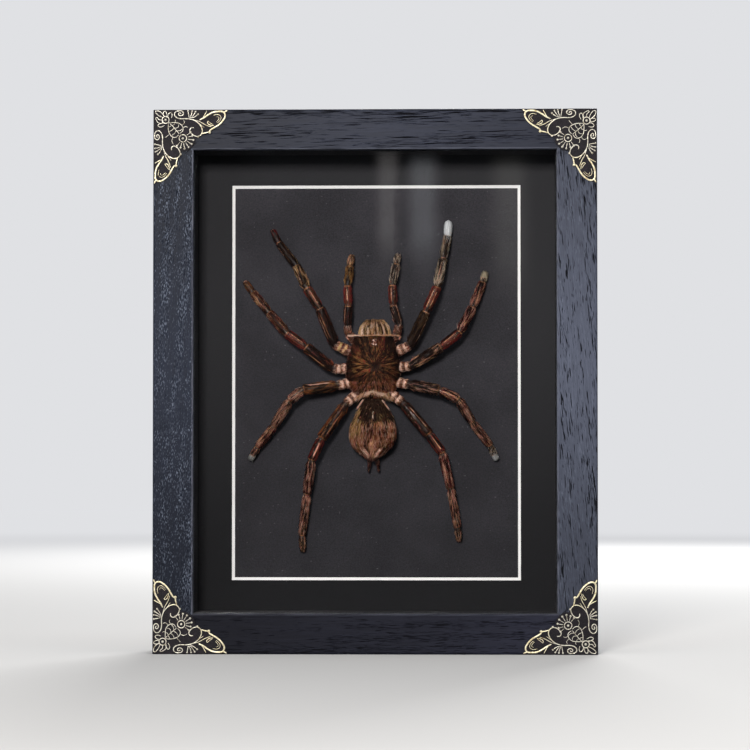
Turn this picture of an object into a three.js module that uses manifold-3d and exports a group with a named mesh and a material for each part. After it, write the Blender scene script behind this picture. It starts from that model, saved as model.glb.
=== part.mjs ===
// Framed tarantula specimen: a glazed box frame with a dried spider on a dark card.
// Millimetres, +Z up, the front faces -Y. The origin is at the bottom centre of the whole object.

import * as THREE from "three";
import { mergeVertices } from "three/addons/utils/BufferGeometryUtils.js";
import Module from "manifold-3d";

const wasm = await Module();
wasm.setup();

// ---- driving dimensions ----

const outerWidth = 230;
const outerHeight = 282;
const frameDepth = 40;
const faceWidth = 21;
const lipThickness = 5;
const lipWidth = 8;
const outerEdgeRadius = 1.2;
const sightEdgeRadius = 0.6;
const backEdgeBreak = 0.5;
const mitreGap = 0.2;

const seatGap = 0.2;
const glassThickness = 2;
const matSetback = 30;
const matThickness = 2;
const windowWidth = 152;
const windowHeight = 208;
const matBevel = 1.45;
const cardThickness = 1.5;
const boardThickness = 3;
const boardClearance = 0.5;

const pointLength = 14;
const pointWidth = 6;
const pointThickness = 0.6;
const pointNose = 4;
const pointClearance = 0.2;
const pointInset = 55;
const cornerCut = 1;

const fittingProud = 1.2;
const fittingGap = 0.1;
const hangerLength = 45;
const hangerHeight = 9;
const hangerThickness = 0.6;
const hangerTeeth = 11;
const hangerToothDepth = 2;
const hangerEndLength = 6;
const hangerNailSpacing = 36;
const hangerNailLift = 1;
const nailShankRadius = 0.6;
const nailHeadRadius = 1.8;
const nailLength = 7;
const nailPointLength = 1;
const nailHeadGap = 0.05;

const plateReach = 38.8;
const plateInset = 0.6;
const sunCentre = 15.4;
const sunRadius = 2;
const flowerCentre = [6.6, 5.3];
const flowerRadius = 1.8;
const reliefHeight = 0.5;
const reliefBody = 1;

const limbSides = 6;
const bodyGap = 0.3;

// ---- levels through the depth, from the front face back ----

const frontFace = -frameDepth / 2;
const backFace = frameDepth / 2;
const glassFront = frontFace + lipThickness + seatGap;
const glassBack = glassFront + glassThickness;
const matFront = frontFace + matSetback;
const matBack = matFront + matThickness;
const cardFront = matBack + seatGap;
const cardBack = cardFront + cardThickness;
const boardFront = cardBack + seatGap;
const boardBack = boardFront + boardThickness;

const centreHeight = outerHeight / 2;
const rebateWidth = outerWidth - 2 * (faceWidth - lipWidth);
const rebateHeight = outerHeight - 2 * (faceWidth - lipWidth);
const fillWidth = rebateWidth - 2 * boardClearance;
const fillHeight = rebateHeight - 2 * boardClearance;

// ---- finishes ----

function finish(color, roughness, metalness) {
  return () => new THREE.MeshStandardMaterial({ color, roughness, metalness });
}

const paintedOak = finish(0x434654, 0.5, 0);
const clearGlass = () => {
  const material = finish(0xf2f6f5, 0.05, 0)();
  material.transparent = true;
  material.opacity = 0.35;
  return material;
};
const blackSpacer = finish(0x141519, 0.8, 0);
const blackMat = finish(0x2c2c30, 0.9, 0);
const greyCard = finish(0x38373c, 0.9, 0);
const brownBoard = finish(0x8a6a4a, 0.8, 0);
const steel = finish(0x9a9da0, 0.35, 1);
const agedBrass = finish(0xb59a62, 0.4, 1);
const spiderShell = finish(0x4a2f20, 0.6, 0);
const spiderLimb = finish(0x3b2620, 0.6, 0);
const spiderFur = finish(0x6b4636, 0.8, 0);

const model = new THREE.Group();

function addPiece(name, geometry, material) {
  const mesh = new THREE.Mesh(geometry, material());
  mesh.name = name;
  model.add(mesh);
  return mesh;
}

// ---- joining and cutting ----

function toSolid(geometry) {
  const bare = geometry.clone();
  bare.deleteAttribute("normal");
  bare.deleteAttribute("uv");
  const merged = mergeVertices(bare, 1e-4);
  return new wasm.Manifold(
    new wasm.Mesh({
      numProp: 3,
      vertProperties: new Float32Array(merged.attributes.position.array),
      triVerts: new Uint32Array(merged.index.array),
    })
  );
}

function toGeometry(solid) {
  const mesh = solid.getMesh();
  const geometry = new THREE.BufferGeometry();
  geometry.setAttribute("position", new THREE.BufferAttribute(mesh.vertProperties, 3));
  geometry.setIndex(new THREE.BufferAttribute(mesh.triVerts, 1));
  geometry.computeVertexNormals();
  return geometry;
}

function joined(geometries) {
  const solids = geometries.map(toSolid);
  return solids.reduce((whole, solid) => whole.add(solid));
}

function box(width, depth, height, x, y, z) {
  const geometry = new THREE.BoxGeometry(width, depth, height);
  geometry.translate(x, y, z);
  return geometry;
}

// Extrudes an outline drawn as seen from the front, x to the right and y up, through a depth.
function frontPanel(shape, front, back, curveSegments = 4) {
  const geometry = new THREE.ExtrudeGeometry(shape, {
    depth: back - front,
    bevelEnabled: false,
    curveSegments,
  });
  geometry.rotateX(Math.PI / 2);
  geometry.translate(0, back, 0);
  return geometry;
}

// ---- wooden members ----

// The moulding's section: x runs inward from the outer edge, y runs back from the front face.
function mouldingSection() {
  const wall = faceWidth - lipWidth;
  const shape = new THREE.Shape();
  shape.moveTo(outerEdgeRadius, 0);
  shape.lineTo(faceWidth - sightEdgeRadius, 0);
  shape.absarc(faceWidth - sightEdgeRadius, sightEdgeRadius, sightEdgeRadius, -Math.PI / 2, 0, false);
  shape.lineTo(faceWidth, lipThickness);
  shape.lineTo(wall, lipThickness);
  shape.lineTo(wall, frameDepth);
  shape.lineTo(backEdgeBreak, frameDepth);
  shape.lineTo(0, frameDepth - backEdgeBreak);
  shape.lineTo(0, outerEdgeRadius);
  shape.absarc(outerEdgeRadius, outerEdgeRadius, outerEdgeRadius, Math.PI, Math.PI * 1.5, false);
  return shape;
}

// A member lies along X with its outer edge down. Each end is mitred at 45 degrees.
function mitredMember(length) {
  const geometry = new THREE.ExtrudeGeometry(mouldingSection(), {
    depth: 1,
    bevelEnabled: false,
    curveSegments: 3,
  });
  const position = geometry.attributes.position;
  for (let i = 0; i < position.count; i += 1) {
    const inward = position.getX(i);
    const back = position.getY(i);
    const along = position.getZ(i) - 0.5;
    position.setXYZ(i, -along * (length - 2 * inward - mitreGap), frontFace + back, inward);
  }
  return geometry;
}

const railCutters = [];

function addMembers() {
  const bottom = addPiece("frame_rail_bottom", mitredMember(outerWidth), paintedOak);
  bottom.position.set(0, 0, 0);
  const left = addPiece("frame_stile_left", mitredMember(outerHeight), paintedOak);
  left.rotation.y = Math.PI / 2;
  left.position.set(-outerWidth / 2, 0, centreHeight);
  const right = addPiece("frame_stile_right", mitredMember(outerHeight), paintedOak);
  right.rotation.y = -Math.PI / 2;
  right.position.set(outerWidth / 2, 0, centreHeight);
  const top = mitredMember(outerWidth);
  top.rotateY(Math.PI);
  top.translate(0, 0, outerHeight);
  const bored = railCutters.reduce((rail, cutter) => rail.subtract(cutter), toSolid(top));
  addPiece("frame_rail_top", toGeometry(bored), paintedOak);
}

// ---- glass, spacers, mat, card and board ----

function addGlazing() {
  const glass = box(fillWidth, glassThickness, fillHeight, 0, (glassFront + glassBack) / 2, centreHeight);
  addPiece("glass_pane", glass, clearGlass);

  const front = glassBack + seatGap;
  const back = matFront - seatGap;
  const depth = back - front;
  const middle = (front + back) / 2;
  const thickness = lipWidth - boardClearance;
  const sideLength = fillHeight - 2 * thickness - 2 * seatGap;
  for (const [name, side] of [["spacer_bottom", -1], ["spacer_top", 1]]) {
    const z = centreHeight + (side * (fillHeight - thickness)) / 2;
    addPiece(name, box(fillWidth, depth, thickness, 0, middle, z), blackSpacer);
  }
  for (const [name, side] of [["spacer_left", -1], ["spacer_right", 1]]) {
    const x = (side * (fillWidth - thickness)) / 2;
    addPiece(name, box(thickness, depth, sideLength, x, middle, centreHeight), blackSpacer);
  }
}

function rectangle(Kind, width, height) {
  const outline = new Kind();
  outline.moveTo(-width / 2, -height / 2);
  outline.lineTo(width / 2, -height / 2);
  outline.lineTo(width / 2, height / 2);
  outline.lineTo(-width / 2, height / 2);
  outline.closePath();
  return outline;
}

// The window is cut on a slope, so it is smaller at the back of the mat than at the front.
function addMat() {
  const sheet = rectangle(THREE.Shape, fillWidth, fillHeight);
  sheet.holes.push(rectangle(THREE.Path, windowWidth, windowHeight));
  const geometry = frontPanel(sheet, matFront, matBack);
  const position = geometry.attributes.position;
  for (let i = 0; i < position.count; i += 1) {
    const atBack = position.getY(i) > (matFront + matBack) / 2;
    const x = position.getX(i);
    const z = position.getZ(i);
    const atWindow = Math.abs(x) < windowWidth / 2 + 1 && Math.abs(z) < windowHeight / 2 + 1;
    if (atBack && atWindow) {
      position.setX(i, x - Math.sign(x) * matBevel);
      position.setZ(i, z - Math.sign(z) * matBevel);
    }
  }
  geometry.translate(0, 0, centreHeight);
  addPiece("window_mat", geometry, blackMat);
}

function addBacking() {
  const card = box(fillWidth, cardThickness, fillHeight, 0, (cardFront + cardBack) / 2, centreHeight);
  addPiece("backing_card", card, greyCard);
  const board = box(fillWidth, boardThickness, fillHeight, 0, (boardFront + boardBack) / 2, centreHeight);
  addPiece("back_board", board, brownBoard);
}

// ---- framer's points ----

// A flat steel point lies over the back board with its nose at the rebate's wall.
function framersPoint() {
  const half = pointWidth / 2;
  const end = pointLength / 2;
  const shape = new THREE.Shape();
  shape.moveTo(end, 0);
  shape.lineTo(end - pointNose, half);
  shape.lineTo(-end + cornerCut, half);
  shape.lineTo(-end, half - cornerCut);
  shape.lineTo(-end, -half + cornerCut);
  shape.lineTo(-end + cornerCut, -half);
  shape.lineTo(end - pointNose, -half);
  shape.closePath();
  const front = boardBack + fittingGap;
  return frontPanel(shape, front, front + pointThickness);
}

// The wall of the rebate is left uncut, so each point stops just short of it.
function addPoints() {
  const reachX = rebateWidth / 2 - pointLength / 2 - pointClearance;
  const reachZ = rebateHeight / 2 - pointLength / 2 - pointClearance;
  const seats = [
    ["point_top_left", -pointInset, reachZ, 90],
    ["point_top_right", pointInset, reachZ, 90],
    ["point_bottom_left", -pointInset, -reachZ, -90],
    ["point_bottom_right", pointInset, -reachZ, -90],
    ["point_left_upper", -reachX, pointInset, 180],
    ["point_left_lower", -reachX, -pointInset, 180],
    ["point_right_upper", reachX, pointInset, 0],
    ["point_right_lower", reachX, -pointInset, 0],
  ];
  for (const [name, x, z, turn] of seats) {
    const point = addPiece(name, framersPoint(), steel);
    point.rotation.y = THREE.MathUtils.degToRad(-turn);
    point.position.set(x, 0, centreHeight + z);
  }
}

// ---- sawtooth hanger and its nails ----

const hangerHeightOnRail = outerHeight - (faceWidth - lipWidth) / 2;
const hangerFront = backFace + fittingGap;
const hangerBack = hangerFront + hangerThickness;

function hangerOutline() {
  const half = hangerHeight / 2;
  const end = hangerLength / 2;
  const gullet = -half + hangerToothDepth;
  const toothed = hangerLength - 2 * hangerEndLength;
  const pitch = toothed / hangerTeeth;
  const shape = new THREE.Shape();
  shape.moveTo(-end, gullet);
  shape.lineTo(-toothed / 2, gullet);
  for (let i = 0; i < hangerTeeth; i += 1) {
    const start = -toothed / 2 + i * pitch;
    shape.lineTo(start + pitch / 2, -half);
    shape.lineTo(start + pitch, gullet);
  }
  shape.lineTo(end, gullet);
  shape.lineTo(end, half - cornerCut);
  shape.lineTo(end - cornerCut, half);
  shape.lineTo(-end + cornerCut, half);
  shape.lineTo(-end, half - cornerCut);
  shape.closePath();
  for (const side of [-1, 1]) {
    const hole = new THREE.Path();
    const x = (side * hangerNailSpacing) / 2;
    hole.absarc(x, hangerNailLift, nailShankRadius + fittingGap, 0, Math.PI * 2, true);
    shape.holes.push(hole);
  }
  return shape;
}

// A nail lies along Y with its point to the front. Its head stands on the hanger.
function nail(grow) {
  const underHead = hangerBack + nailHeadGap;
  const top = backFace + fittingProud;
  const shank = nailShankRadius + grow;
  const profile = [
    new THREE.Vector2(0, backFace - nailLength - grow),
    new THREE.Vector2(shank, backFace - nailLength + nailPointLength),
    new THREE.Vector2(shank, underHead),
    new THREE.Vector2(nailHeadRadius + grow, underHead),
    new THREE.Vector2(nailHeadRadius * 0.8 + grow, top),
    new THREE.Vector2(0, top),
  ];
  return new THREE.LatheGeometry(profile, 8);
}

function addHanger() {
  const plate = frontPanel(hangerOutline(), hangerFront, hangerBack, 6);
  plate.translate(0, 0, hangerHeightOnRail);
  addPiece("hanger_plate", plate, steel);
  for (const [name, side] of [["hanger_nail_left", -1], ["hanger_nail_right", 1]]) {
    const x = (side * hangerNailSpacing) / 2;
    const z = hangerHeightOnRail + hangerNailLift;
    const geometry = nail(0);
    geometry.translate(x, 0, z);
    addPiece(name, geometry, steel);
    const cutter = nail(bodyGap);
    cutter.translate(x, 0, z);
    railCutters.push(toSolid(cutter));
  }
}

// ---- corner ornaments ----

// Half of the plate's scalloped edge, from its long tip to the diagonal.
// u runs from the frame's corner along one edge, and v along the other.
const scallop = [
  [37, 0.9],
  [plateReach, 0.4],
  [37.7, 1.9],
  [37.2, 4],
  [35.7, 6.3],
  [33, 8.7],
  [30.4, 10.2],
  [30.1, 12],
  [28.8, 12.5],
  [25.6, 12.3],
  [24.2, 13.5],
  [21.8, 14.4],
  [21.6, 17],
  [20.3, 19],
];

function plateOutline() {
  const edge = [...scallop, ...scallop.map(([u, v]) => [v, u]).reverse()];
  const shape = new THREE.Shape();
  shape.moveTo(plateInset, plateInset);
  edge.forEach(([u, v]) => shape.lineTo(u, v));
  shape.closePath();
  return shape;
}

// A flat ribbon that follows a run of points.
function ribbon(points, width) {
  const sides = [[], []];
  points.forEach(([u, v], i) => {
    const [u0, v0] = points[Math.max(i - 1, 0)];
    const [u1, v1] = points[Math.min(i + 1, points.length - 1)];
    const length = Math.hypot(u1 - u0, v1 - v0);
    const across = [(-(v1 - v0) / length) * (width / 2), ((u1 - u0) / length) * (width / 2)];
    sides[0].push([u + across[0], v + across[1]]);
    sides[1].unshift([u - across[0], v - across[1]]);
  });
  const outline = [...sides[0], ...sides[1]].map(([u, v]) => new THREE.Vector2(u, v));
  const shape = new THREE.Shape(outline);
  const geometry = new THREE.ExtrudeGeometry(shape, { depth: reliefBody, bevelEnabled: false });
  geometry.translate(0, 0, -reliefBody / 2);
  return geometry;
}

function boss(u, v, radius) {
  const half = reliefBody / 2;
  const profile = [
    new THREE.Vector2(0, -half),
    new THREE.Vector2(radius, -half),
    new THREE.Vector2(radius, half * 0.6),
    new THREE.Vector2(radius * 0.7, half),
    new THREE.Vector2(0, half),
  ];
  const geometry = new THREE.LatheGeometry(profile, 8);
  geometry.rotateX(Math.PI / 2);
  geometry.translate(u, v, 0);
  return geometry;
}

// The main raised lines: the long tendril, its end curl and the leaf loop, on both arms.
function reliefShapes() {
  const tendril = [[10, 5.2], [17, 4.8], [22, 6.2], [25.2, 9], [25.4, 11.8]];
  const loop = [[26, 5.2], [32, 1.6], [36.6, 2.2], [36.2, 5], [33, 8], [30, 9.8]];
  const curl = [[10.4, 4.8], [11.4, 1.6], [15, 1], [16.6, 2.6]];
  const arm = [ribbon(tendril, 0.8), ribbon(loop, 1), ribbon(curl, 0.8)];
  const diagonal = new THREE.Vector3(1, 1, 0).normalize();
  const swap = new THREE.Matrix4().makeRotationAxis(diagonal, Math.PI);
  const shapes = [boss(sunCentre, sunCentre, sunRadius), boss(...flowerCentre, flowerRadius)];
  for (const bar of arm) {
    const other = bar.clone();
    other.applyMatrix4(swap);
    shapes.push(bar, other);
  }
  return shapes;
}

function cornerPlate() {
  const ground = new THREE.ExtrudeGeometry(plateOutline(), {
    depth: fittingProud - fittingGap - reliefHeight,
    bevelEnabled: false,
  });
  ground.translate(0, 0, fittingGap);
  const relief = reliefShapes();
  relief.forEach((geometry) => geometry.translate(0, 0, fittingProud - reliefBody / 2));
  return joined([ground, ...relief]);
}

// A plate is made with its corner at the origin, and turned to each corner of the front face.
function addCornerPlates() {
  const plate = toGeometry(cornerPlate());
  plate.rotateX(Math.PI / 2);
  const seats = [
    ["corner_plate_bottom_left", -1, 0, 0],
    ["corner_plate_bottom_right", 1, 0, -90],
    ["corner_plate_top_right", 1, 1, -180],
    ["corner_plate_top_left", -1, 1, -270],
  ];
  for (const [name, side, level, turn] of seats) {
    const mesh = addPiece(name, plate.clone(), agedBrass);
    mesh.rotation.y = THREE.MathUtils.degToRad(turn);
    mesh.position.set((side * outerWidth) / 2, frontFace, level * outerHeight);
  }
}

// ---- spider ----

// Places are (x, z, height), height being how far the point stands off the card.
const spiderX = -1.2;
const carapace = { z: 149, height: 7.5, halfWidth: 13.4, halfLength: 15.4, halfHeight: 5 };
const head = { z: 157.6, height: 8.5, halfWidth: 10.4, halfLength: 7.6, halfHeight: 5 };
const sternum = { z: 149, height: 5.2, halfWidth: 8.5, halfLength: 12, halfHeight: 3.4 };
const pedicel = { from: [spiderX, 138, 6], to: [spiderX, 131.6, 6.5], radius: 1.5 };
const abdomenX = -1.6;
const abdomenBase = 101;
const abdomenHeight = 8.2;
const abdomenFlatness = 0.6;
const spinneretX = -1.4;
const spinneretRoot = { spread: 1.6, z: 103, height: 6 };
const spinneretTip = { spread: 2.6, z: 94.6, height: 4 };
const spinneretRadii = [[1.2, 0.7]];

function place(x, z, height) {
  return new THREE.Vector3(x, cardFront - height, z);
}

function egg(part, grow) {
  const geometry = new THREE.SphereGeometry(1, 14, 8);
  geometry.rotateX(Math.PI / 2);
  geometry.scale(part.halfWidth + grow, part.halfHeight + grow, part.halfLength + grow);
  geometry.translate(spiderX, cardFront - part.height, part.z);
  return geometry;
}

// One tapered segment with rounded ends, turned about its own axis and laid between two points.
function segment(from, to, startRadius, endRadius, grow) {
  const length = from.distanceTo(to);
  const start = startRadius + grow;
  const end = endRadius + grow;
  const profile = [
    new THREE.Vector2(0, -start * 0.5),
    new THREE.Vector2(start * 0.95, length * 0.1),
    new THREE.Vector2(end, length * 0.8),
    new THREE.Vector2(end * 0.7, length + end * 0.3),
    new THREE.Vector2(0, length + end * 0.6),
  ];
  const geometry = new THREE.LatheGeometry(profile, limbSides);
  const direction = to.clone().sub(from).normalize();
  const turn = new THREE.Quaternion().setFromUnitVectors(new THREE.Vector3(0, 1, 0), direction);
  geometry.applyQuaternion(turn);
  geometry.translate(from.x, from.y, from.z);
  return geometry;
}

function limb(places, radii, grow = 0) {
  const points = places.map((p) => place(...p));
  const parts = [];
  for (let i = 0; i + 1 < points.length; i += 1) {
    parts.push(segment(points[i], points[i + 1], radii[i][0], radii[i][1], grow));
  }
  return joined(parts);
}

function frontBody(grow) {
  const waist = segment(place(...pedicel.from), place(...pedicel.to), pedicel.radius, pedicel.radius, grow);
  return joined([egg(carapace, grow), egg(head, grow), egg(sternum, grow), waist]);
}

function abdomenBody(grow) {
  const profile = [
    [0, -0.6],
    [3.4, 0.4],
    [7.6, 4],
    [10.6, 9],
    [11.2, 14],
    [9.8, 21],
    [7, 27],
    [3.6, 30.2],
    [0, 31.2],
  ].map(([r, z]) => new THREE.Vector2(r === 0 ? 0 : r + grow, z));
  const geometry = new THREE.LatheGeometry(profile, 18);
  geometry.rotateX(Math.PI / 2);
  geometry.scale(1, abdomenFlatness, 1);
  geometry.translate(abdomenX, cardFront - abdomenHeight, abdomenBase);
  return toSolid(geometry);
}

// Each reach is [length, heading] for femur, patella, tibia, metatarsus and tarsus.
// Headings are in degrees seen from the front, 0 to the right and 90 up.
const legs = [
  { name: "spider_leg_1_left", coxa: [-9.5, 155], hip: [-18.8, 159.6], knuckle: [-21.7, 160.7],
    reach: [[20.5, 112], [12.5, 123], [13.5, 115], [15.5, 128], [7.2, 116]] },
  { name: "spider_leg_2_left", coxa: [-9.5, 148.5], hip: [-19.6, 148], knuckle: [-22.6, 148],
    reach: [[18, 141], [12.5, 144], [14.5, 131], [14, 129], [6.8, 126]] },
  { name: "spider_leg_3_left", coxa: [-9.5, 142], hip: [-17.6, 139.8], knuckle: [-20.2, 139.3],
    reach: [[18, -173], [9, -142], [15.5, -122], [14.5, -128], [7.6, -121]] },
  { name: "spider_leg_4_left", coxa: [-7.5, 136.5], hip: [-13.6, 131.8], knuckle: [-15.9, 129.6],
    reach: [[22, -125], [12.5, -115], [18, -98], [22, -97], [8.2, -87]] },
  { name: "spider_leg_1_right", coxa: [7.1, 155], hip: [15.2, 159], knuckle: [17.7, 160.1],
    reach: [[19.5, 64], [14.5, 66], [15.5, 78], [12.5, 79], [7.2, 88]] },
  { name: "spider_leg_2_right", coxa: [7.1, 148.5], hip: [15.8, 149.2], knuckle: [18.3, 149.5],
    reach: [[18.5, 32], [12.5, 38], [15, 63], [14.5, 68], [5.4, 75]] },
  { name: "spider_leg_3_right", coxa: [7.1, 142], hip: [14.9, 140.2], knuckle: [17.4, 140],
    reach: [[16, -12], [11, -24], [14, -59], [15.5, -52], [8.2, -66]] },
  { name: "spider_leg_4_right", coxa: [5.1, 136.5], hip: [11.5, 132.2], knuckle: [14, 130.1],
    reach: [[21.5, -50], [12, -54], [19, -77], [21, -80], [6.8, -84]] },
];
const legCoxaHeight = 5.4;
const legHipHeight = 6.6;
const legHeights = [7, 9.6, 9.2, 6, 3.4, 2.2];
const legRadii = [
  [3, 2.7],
  [2.6, 2.6],
  [2.5, 2.6],
  [2.3, 2.4],
  [2.2, 2.1],
  [2, 1.9],
  [1.7, 1.5],
];

const palps = [
  { name: "spider_palp_left", coxa: [-8.6, 160.6], hip: [-14.5, 166.2],
    reach: [[4.5, 98], [10.5, 87], [10.5, 92], [10.5, 84], [5.6, 79]] },
  { name: "spider_palp_right", coxa: [6.2, 160.6], hip: [10.8, 165.9],
    reach: [[5.5, 77], [10.5, 106], [10.5, 93], [11.5, 80], [5.2, 81]] },
];
const palpCoxaHeight = 5;
const palpHeights = [6, 6.8, 7.6, 7, 5, 3];
const palpRadii = [
  [2.4, 2.3],
  [2.1, 2.1],
  [2, 2.1],
  [2.1, 2.1],
  [1.9, 2],
  [1.9, 1.6],
];

function walk(start, reach, heights) {
  const places = [];
  let [x, z] = start;
  reach.forEach(([length, heading], i) => {
    const angle = THREE.MathUtils.degToRad(heading);
    x += length * Math.cos(angle);
    z += length * Math.sin(angle);
    places.push([x, z, heights[i + 1]]);
  });
  return places;
}

function legPlaces(leg) {
  return [
    [...leg.coxa, legCoxaHeight],
    [...leg.hip, legHipHeight],
    [...leg.knuckle, legHeights[0]],
    ...walk(leg.knuckle, leg.reach, legHeights),
  ];
}

function palpPlaces(palp) {
  return [
    [...palp.coxa, palpCoxaHeight],
    [...palp.hip, palpHeights[0]],
    ...walk(palp.hip, palp.reach, palpHeights),
  ];
}

const chelicerae = [
  { name: "spider_chelicera_left", side: -1 },
  { name: "spider_chelicera_right", side: 1 },
];
const cheliceraMiddle = -0.7;
const cheliceraSpread = 4.1;
const cheliceraRoot = { z: 161, height: 7.4 };
const cheliceraTip = { z: 171, height: 5.6 };
const cheliceraRadii = [[3.9, 3.9]];

function addSpider() {
  addPiece("spider_cephalothorax", toGeometry(frontBody(0)), spiderShell);
  const clearance = frontBody(bodyGap);
  addPiece("spider_abdomen", toGeometry(abdomenBody(0).subtract(clearance)), spiderFur);
  const rearClearance = abdomenBody(bodyGap);

  for (const [name, side] of [["spider_spinneret_left", -1], ["spider_spinneret_right", 1]]) {
    const reach = [spinneretRoot, spinneretTip].map((end) => {
      return [spinneretX + side * end.spread, end.z, end.height];
    });
    const solid = limb(reach, spinneretRadii).subtract(rearClearance);
    addPiece(name, toGeometry(solid), spiderLimb);
  }

  const jaws = [];
  for (const { name, side } of chelicerae) {
    const x = cheliceraMiddle + side * cheliceraSpread;
    const reach = [
      [x, cheliceraRoot.z, cheliceraRoot.height],
      [x, cheliceraTip.z, cheliceraTip.height],
    ];
    const solid = limb(reach, cheliceraRadii).subtract(clearance);
    addPiece(name, toGeometry(solid), spiderFur);
    jaws.push(limb(reach, cheliceraRadii, bodyGap));
  }

  for (const leg of legs) {
    const solid = limb(legPlaces(leg), legRadii).subtract(clearance);
    addPiece(leg.name, toGeometry(solid.subtract(rearClearance)), spiderLimb);
  }
  const frontLegs = legs
    .filter(({ name }) => name.includes("_1_"))
    .map((leg) => limb(legPlaces(leg), legRadii, bodyGap));
  for (const palp of palps) {
    const whole = limb(palpPlaces(palp), palpRadii).subtract(clearance);
    const solid = [...jaws, ...frontLegs].reduce((rest, cutter) => rest.subtract(cutter), whole);
    addPiece(palp.name, toGeometry(solid), spiderLimb);
  }
}

addHanger();
addMembers();
addGlazing();
addMat();
addBacking();
addPoints();
addCornerPlates();
addSpider();

export default model;
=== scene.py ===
# Looks of the framed tarantula specimen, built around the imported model.
# Tables are in millimetres; Blender's own units are metres.
import math

import bpy
import numpy as np
from mathutils import Matrix, Vector


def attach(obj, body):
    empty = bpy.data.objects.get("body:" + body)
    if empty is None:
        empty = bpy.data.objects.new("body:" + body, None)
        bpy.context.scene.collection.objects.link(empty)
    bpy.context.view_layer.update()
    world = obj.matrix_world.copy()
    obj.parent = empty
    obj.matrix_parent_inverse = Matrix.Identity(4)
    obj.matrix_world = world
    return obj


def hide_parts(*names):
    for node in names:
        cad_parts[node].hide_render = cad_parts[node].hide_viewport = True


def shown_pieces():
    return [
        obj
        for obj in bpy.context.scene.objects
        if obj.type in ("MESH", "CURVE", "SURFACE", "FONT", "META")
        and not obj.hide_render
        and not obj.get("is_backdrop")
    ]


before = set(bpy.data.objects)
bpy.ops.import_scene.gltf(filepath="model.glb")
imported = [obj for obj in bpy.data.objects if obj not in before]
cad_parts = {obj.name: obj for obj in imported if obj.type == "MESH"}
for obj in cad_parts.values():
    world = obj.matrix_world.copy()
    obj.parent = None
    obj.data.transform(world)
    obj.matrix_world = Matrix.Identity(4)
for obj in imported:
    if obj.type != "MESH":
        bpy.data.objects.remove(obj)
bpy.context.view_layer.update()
mm = 0.001
cardFace = 12.2  # y of the card's face; the spider's heights count off it
print("frame loaded")


def onlySelect(*things):
    for thing in list(bpy.context.selected_objects):
        thing.select_set(False)
    for thing in reversed(things):
        thing.select_set(True)
        bpy.context.view_layer.objects.active = thing


def newObject(name, data):
    thing = bpy.data.objects.new(name, data)
    bpy.context.scene.collection.objects.link(thing)
    return thing


def joinAs(name, things):
    onlySelect(*things)
    bpy.ops.object.join()
    bpy.context.object.name = bpy.context.object.data.name = name
    return bpy.context.object


def seat(node, slot, *things):
    # the things stand for a node, whose imported mesh is hidden; slot is not used
    for thing in things:
        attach(thing, "root")
        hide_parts(node)


def tone(red, green, blue):
    # a paint-chart colour, 0 to 255, as the linear colour that a shader wants
    def linear(c):
        c = c / 255
        return c / 12.92 if c <= 0.04045 else ((c + 0.055) / 1.055) ** 2.4

    return (linear(red), linear(green), linear(blue), 1)


class Wire:
    # a shader socket that Python's operators work on
    def __init__(self, finish, socket):
        self.finish = finish
        self.socket = socket

    def maths(self, operation, first, second=0.0):
        return self.finish.add("Math", {"operation": operation}, {0: first, 1: second})

    def __add__(self, other):
        return self.maths("ADD", self, other)

    def __radd__(self, other):
        return self.maths("ADD", other, self)

    def __sub__(self, other):
        return self.maths("SUBTRACT", self, other)

    def __rsub__(self, other):
        return self.maths("SUBTRACT", other, self)

    def __mul__(self, other):
        return self.maths("MULTIPLY", self, other)

    def __rmul__(self, other):
        return self.maths("MULTIPLY", other, self)

    def below(self, other):
        return self.maths("LESS_THAN", self, other)

    def largest(self, other):
        return self.maths("MAXIMUM", self, other)

    def size(self):
        return self.maths("ABSOLUTE", self)


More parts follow.
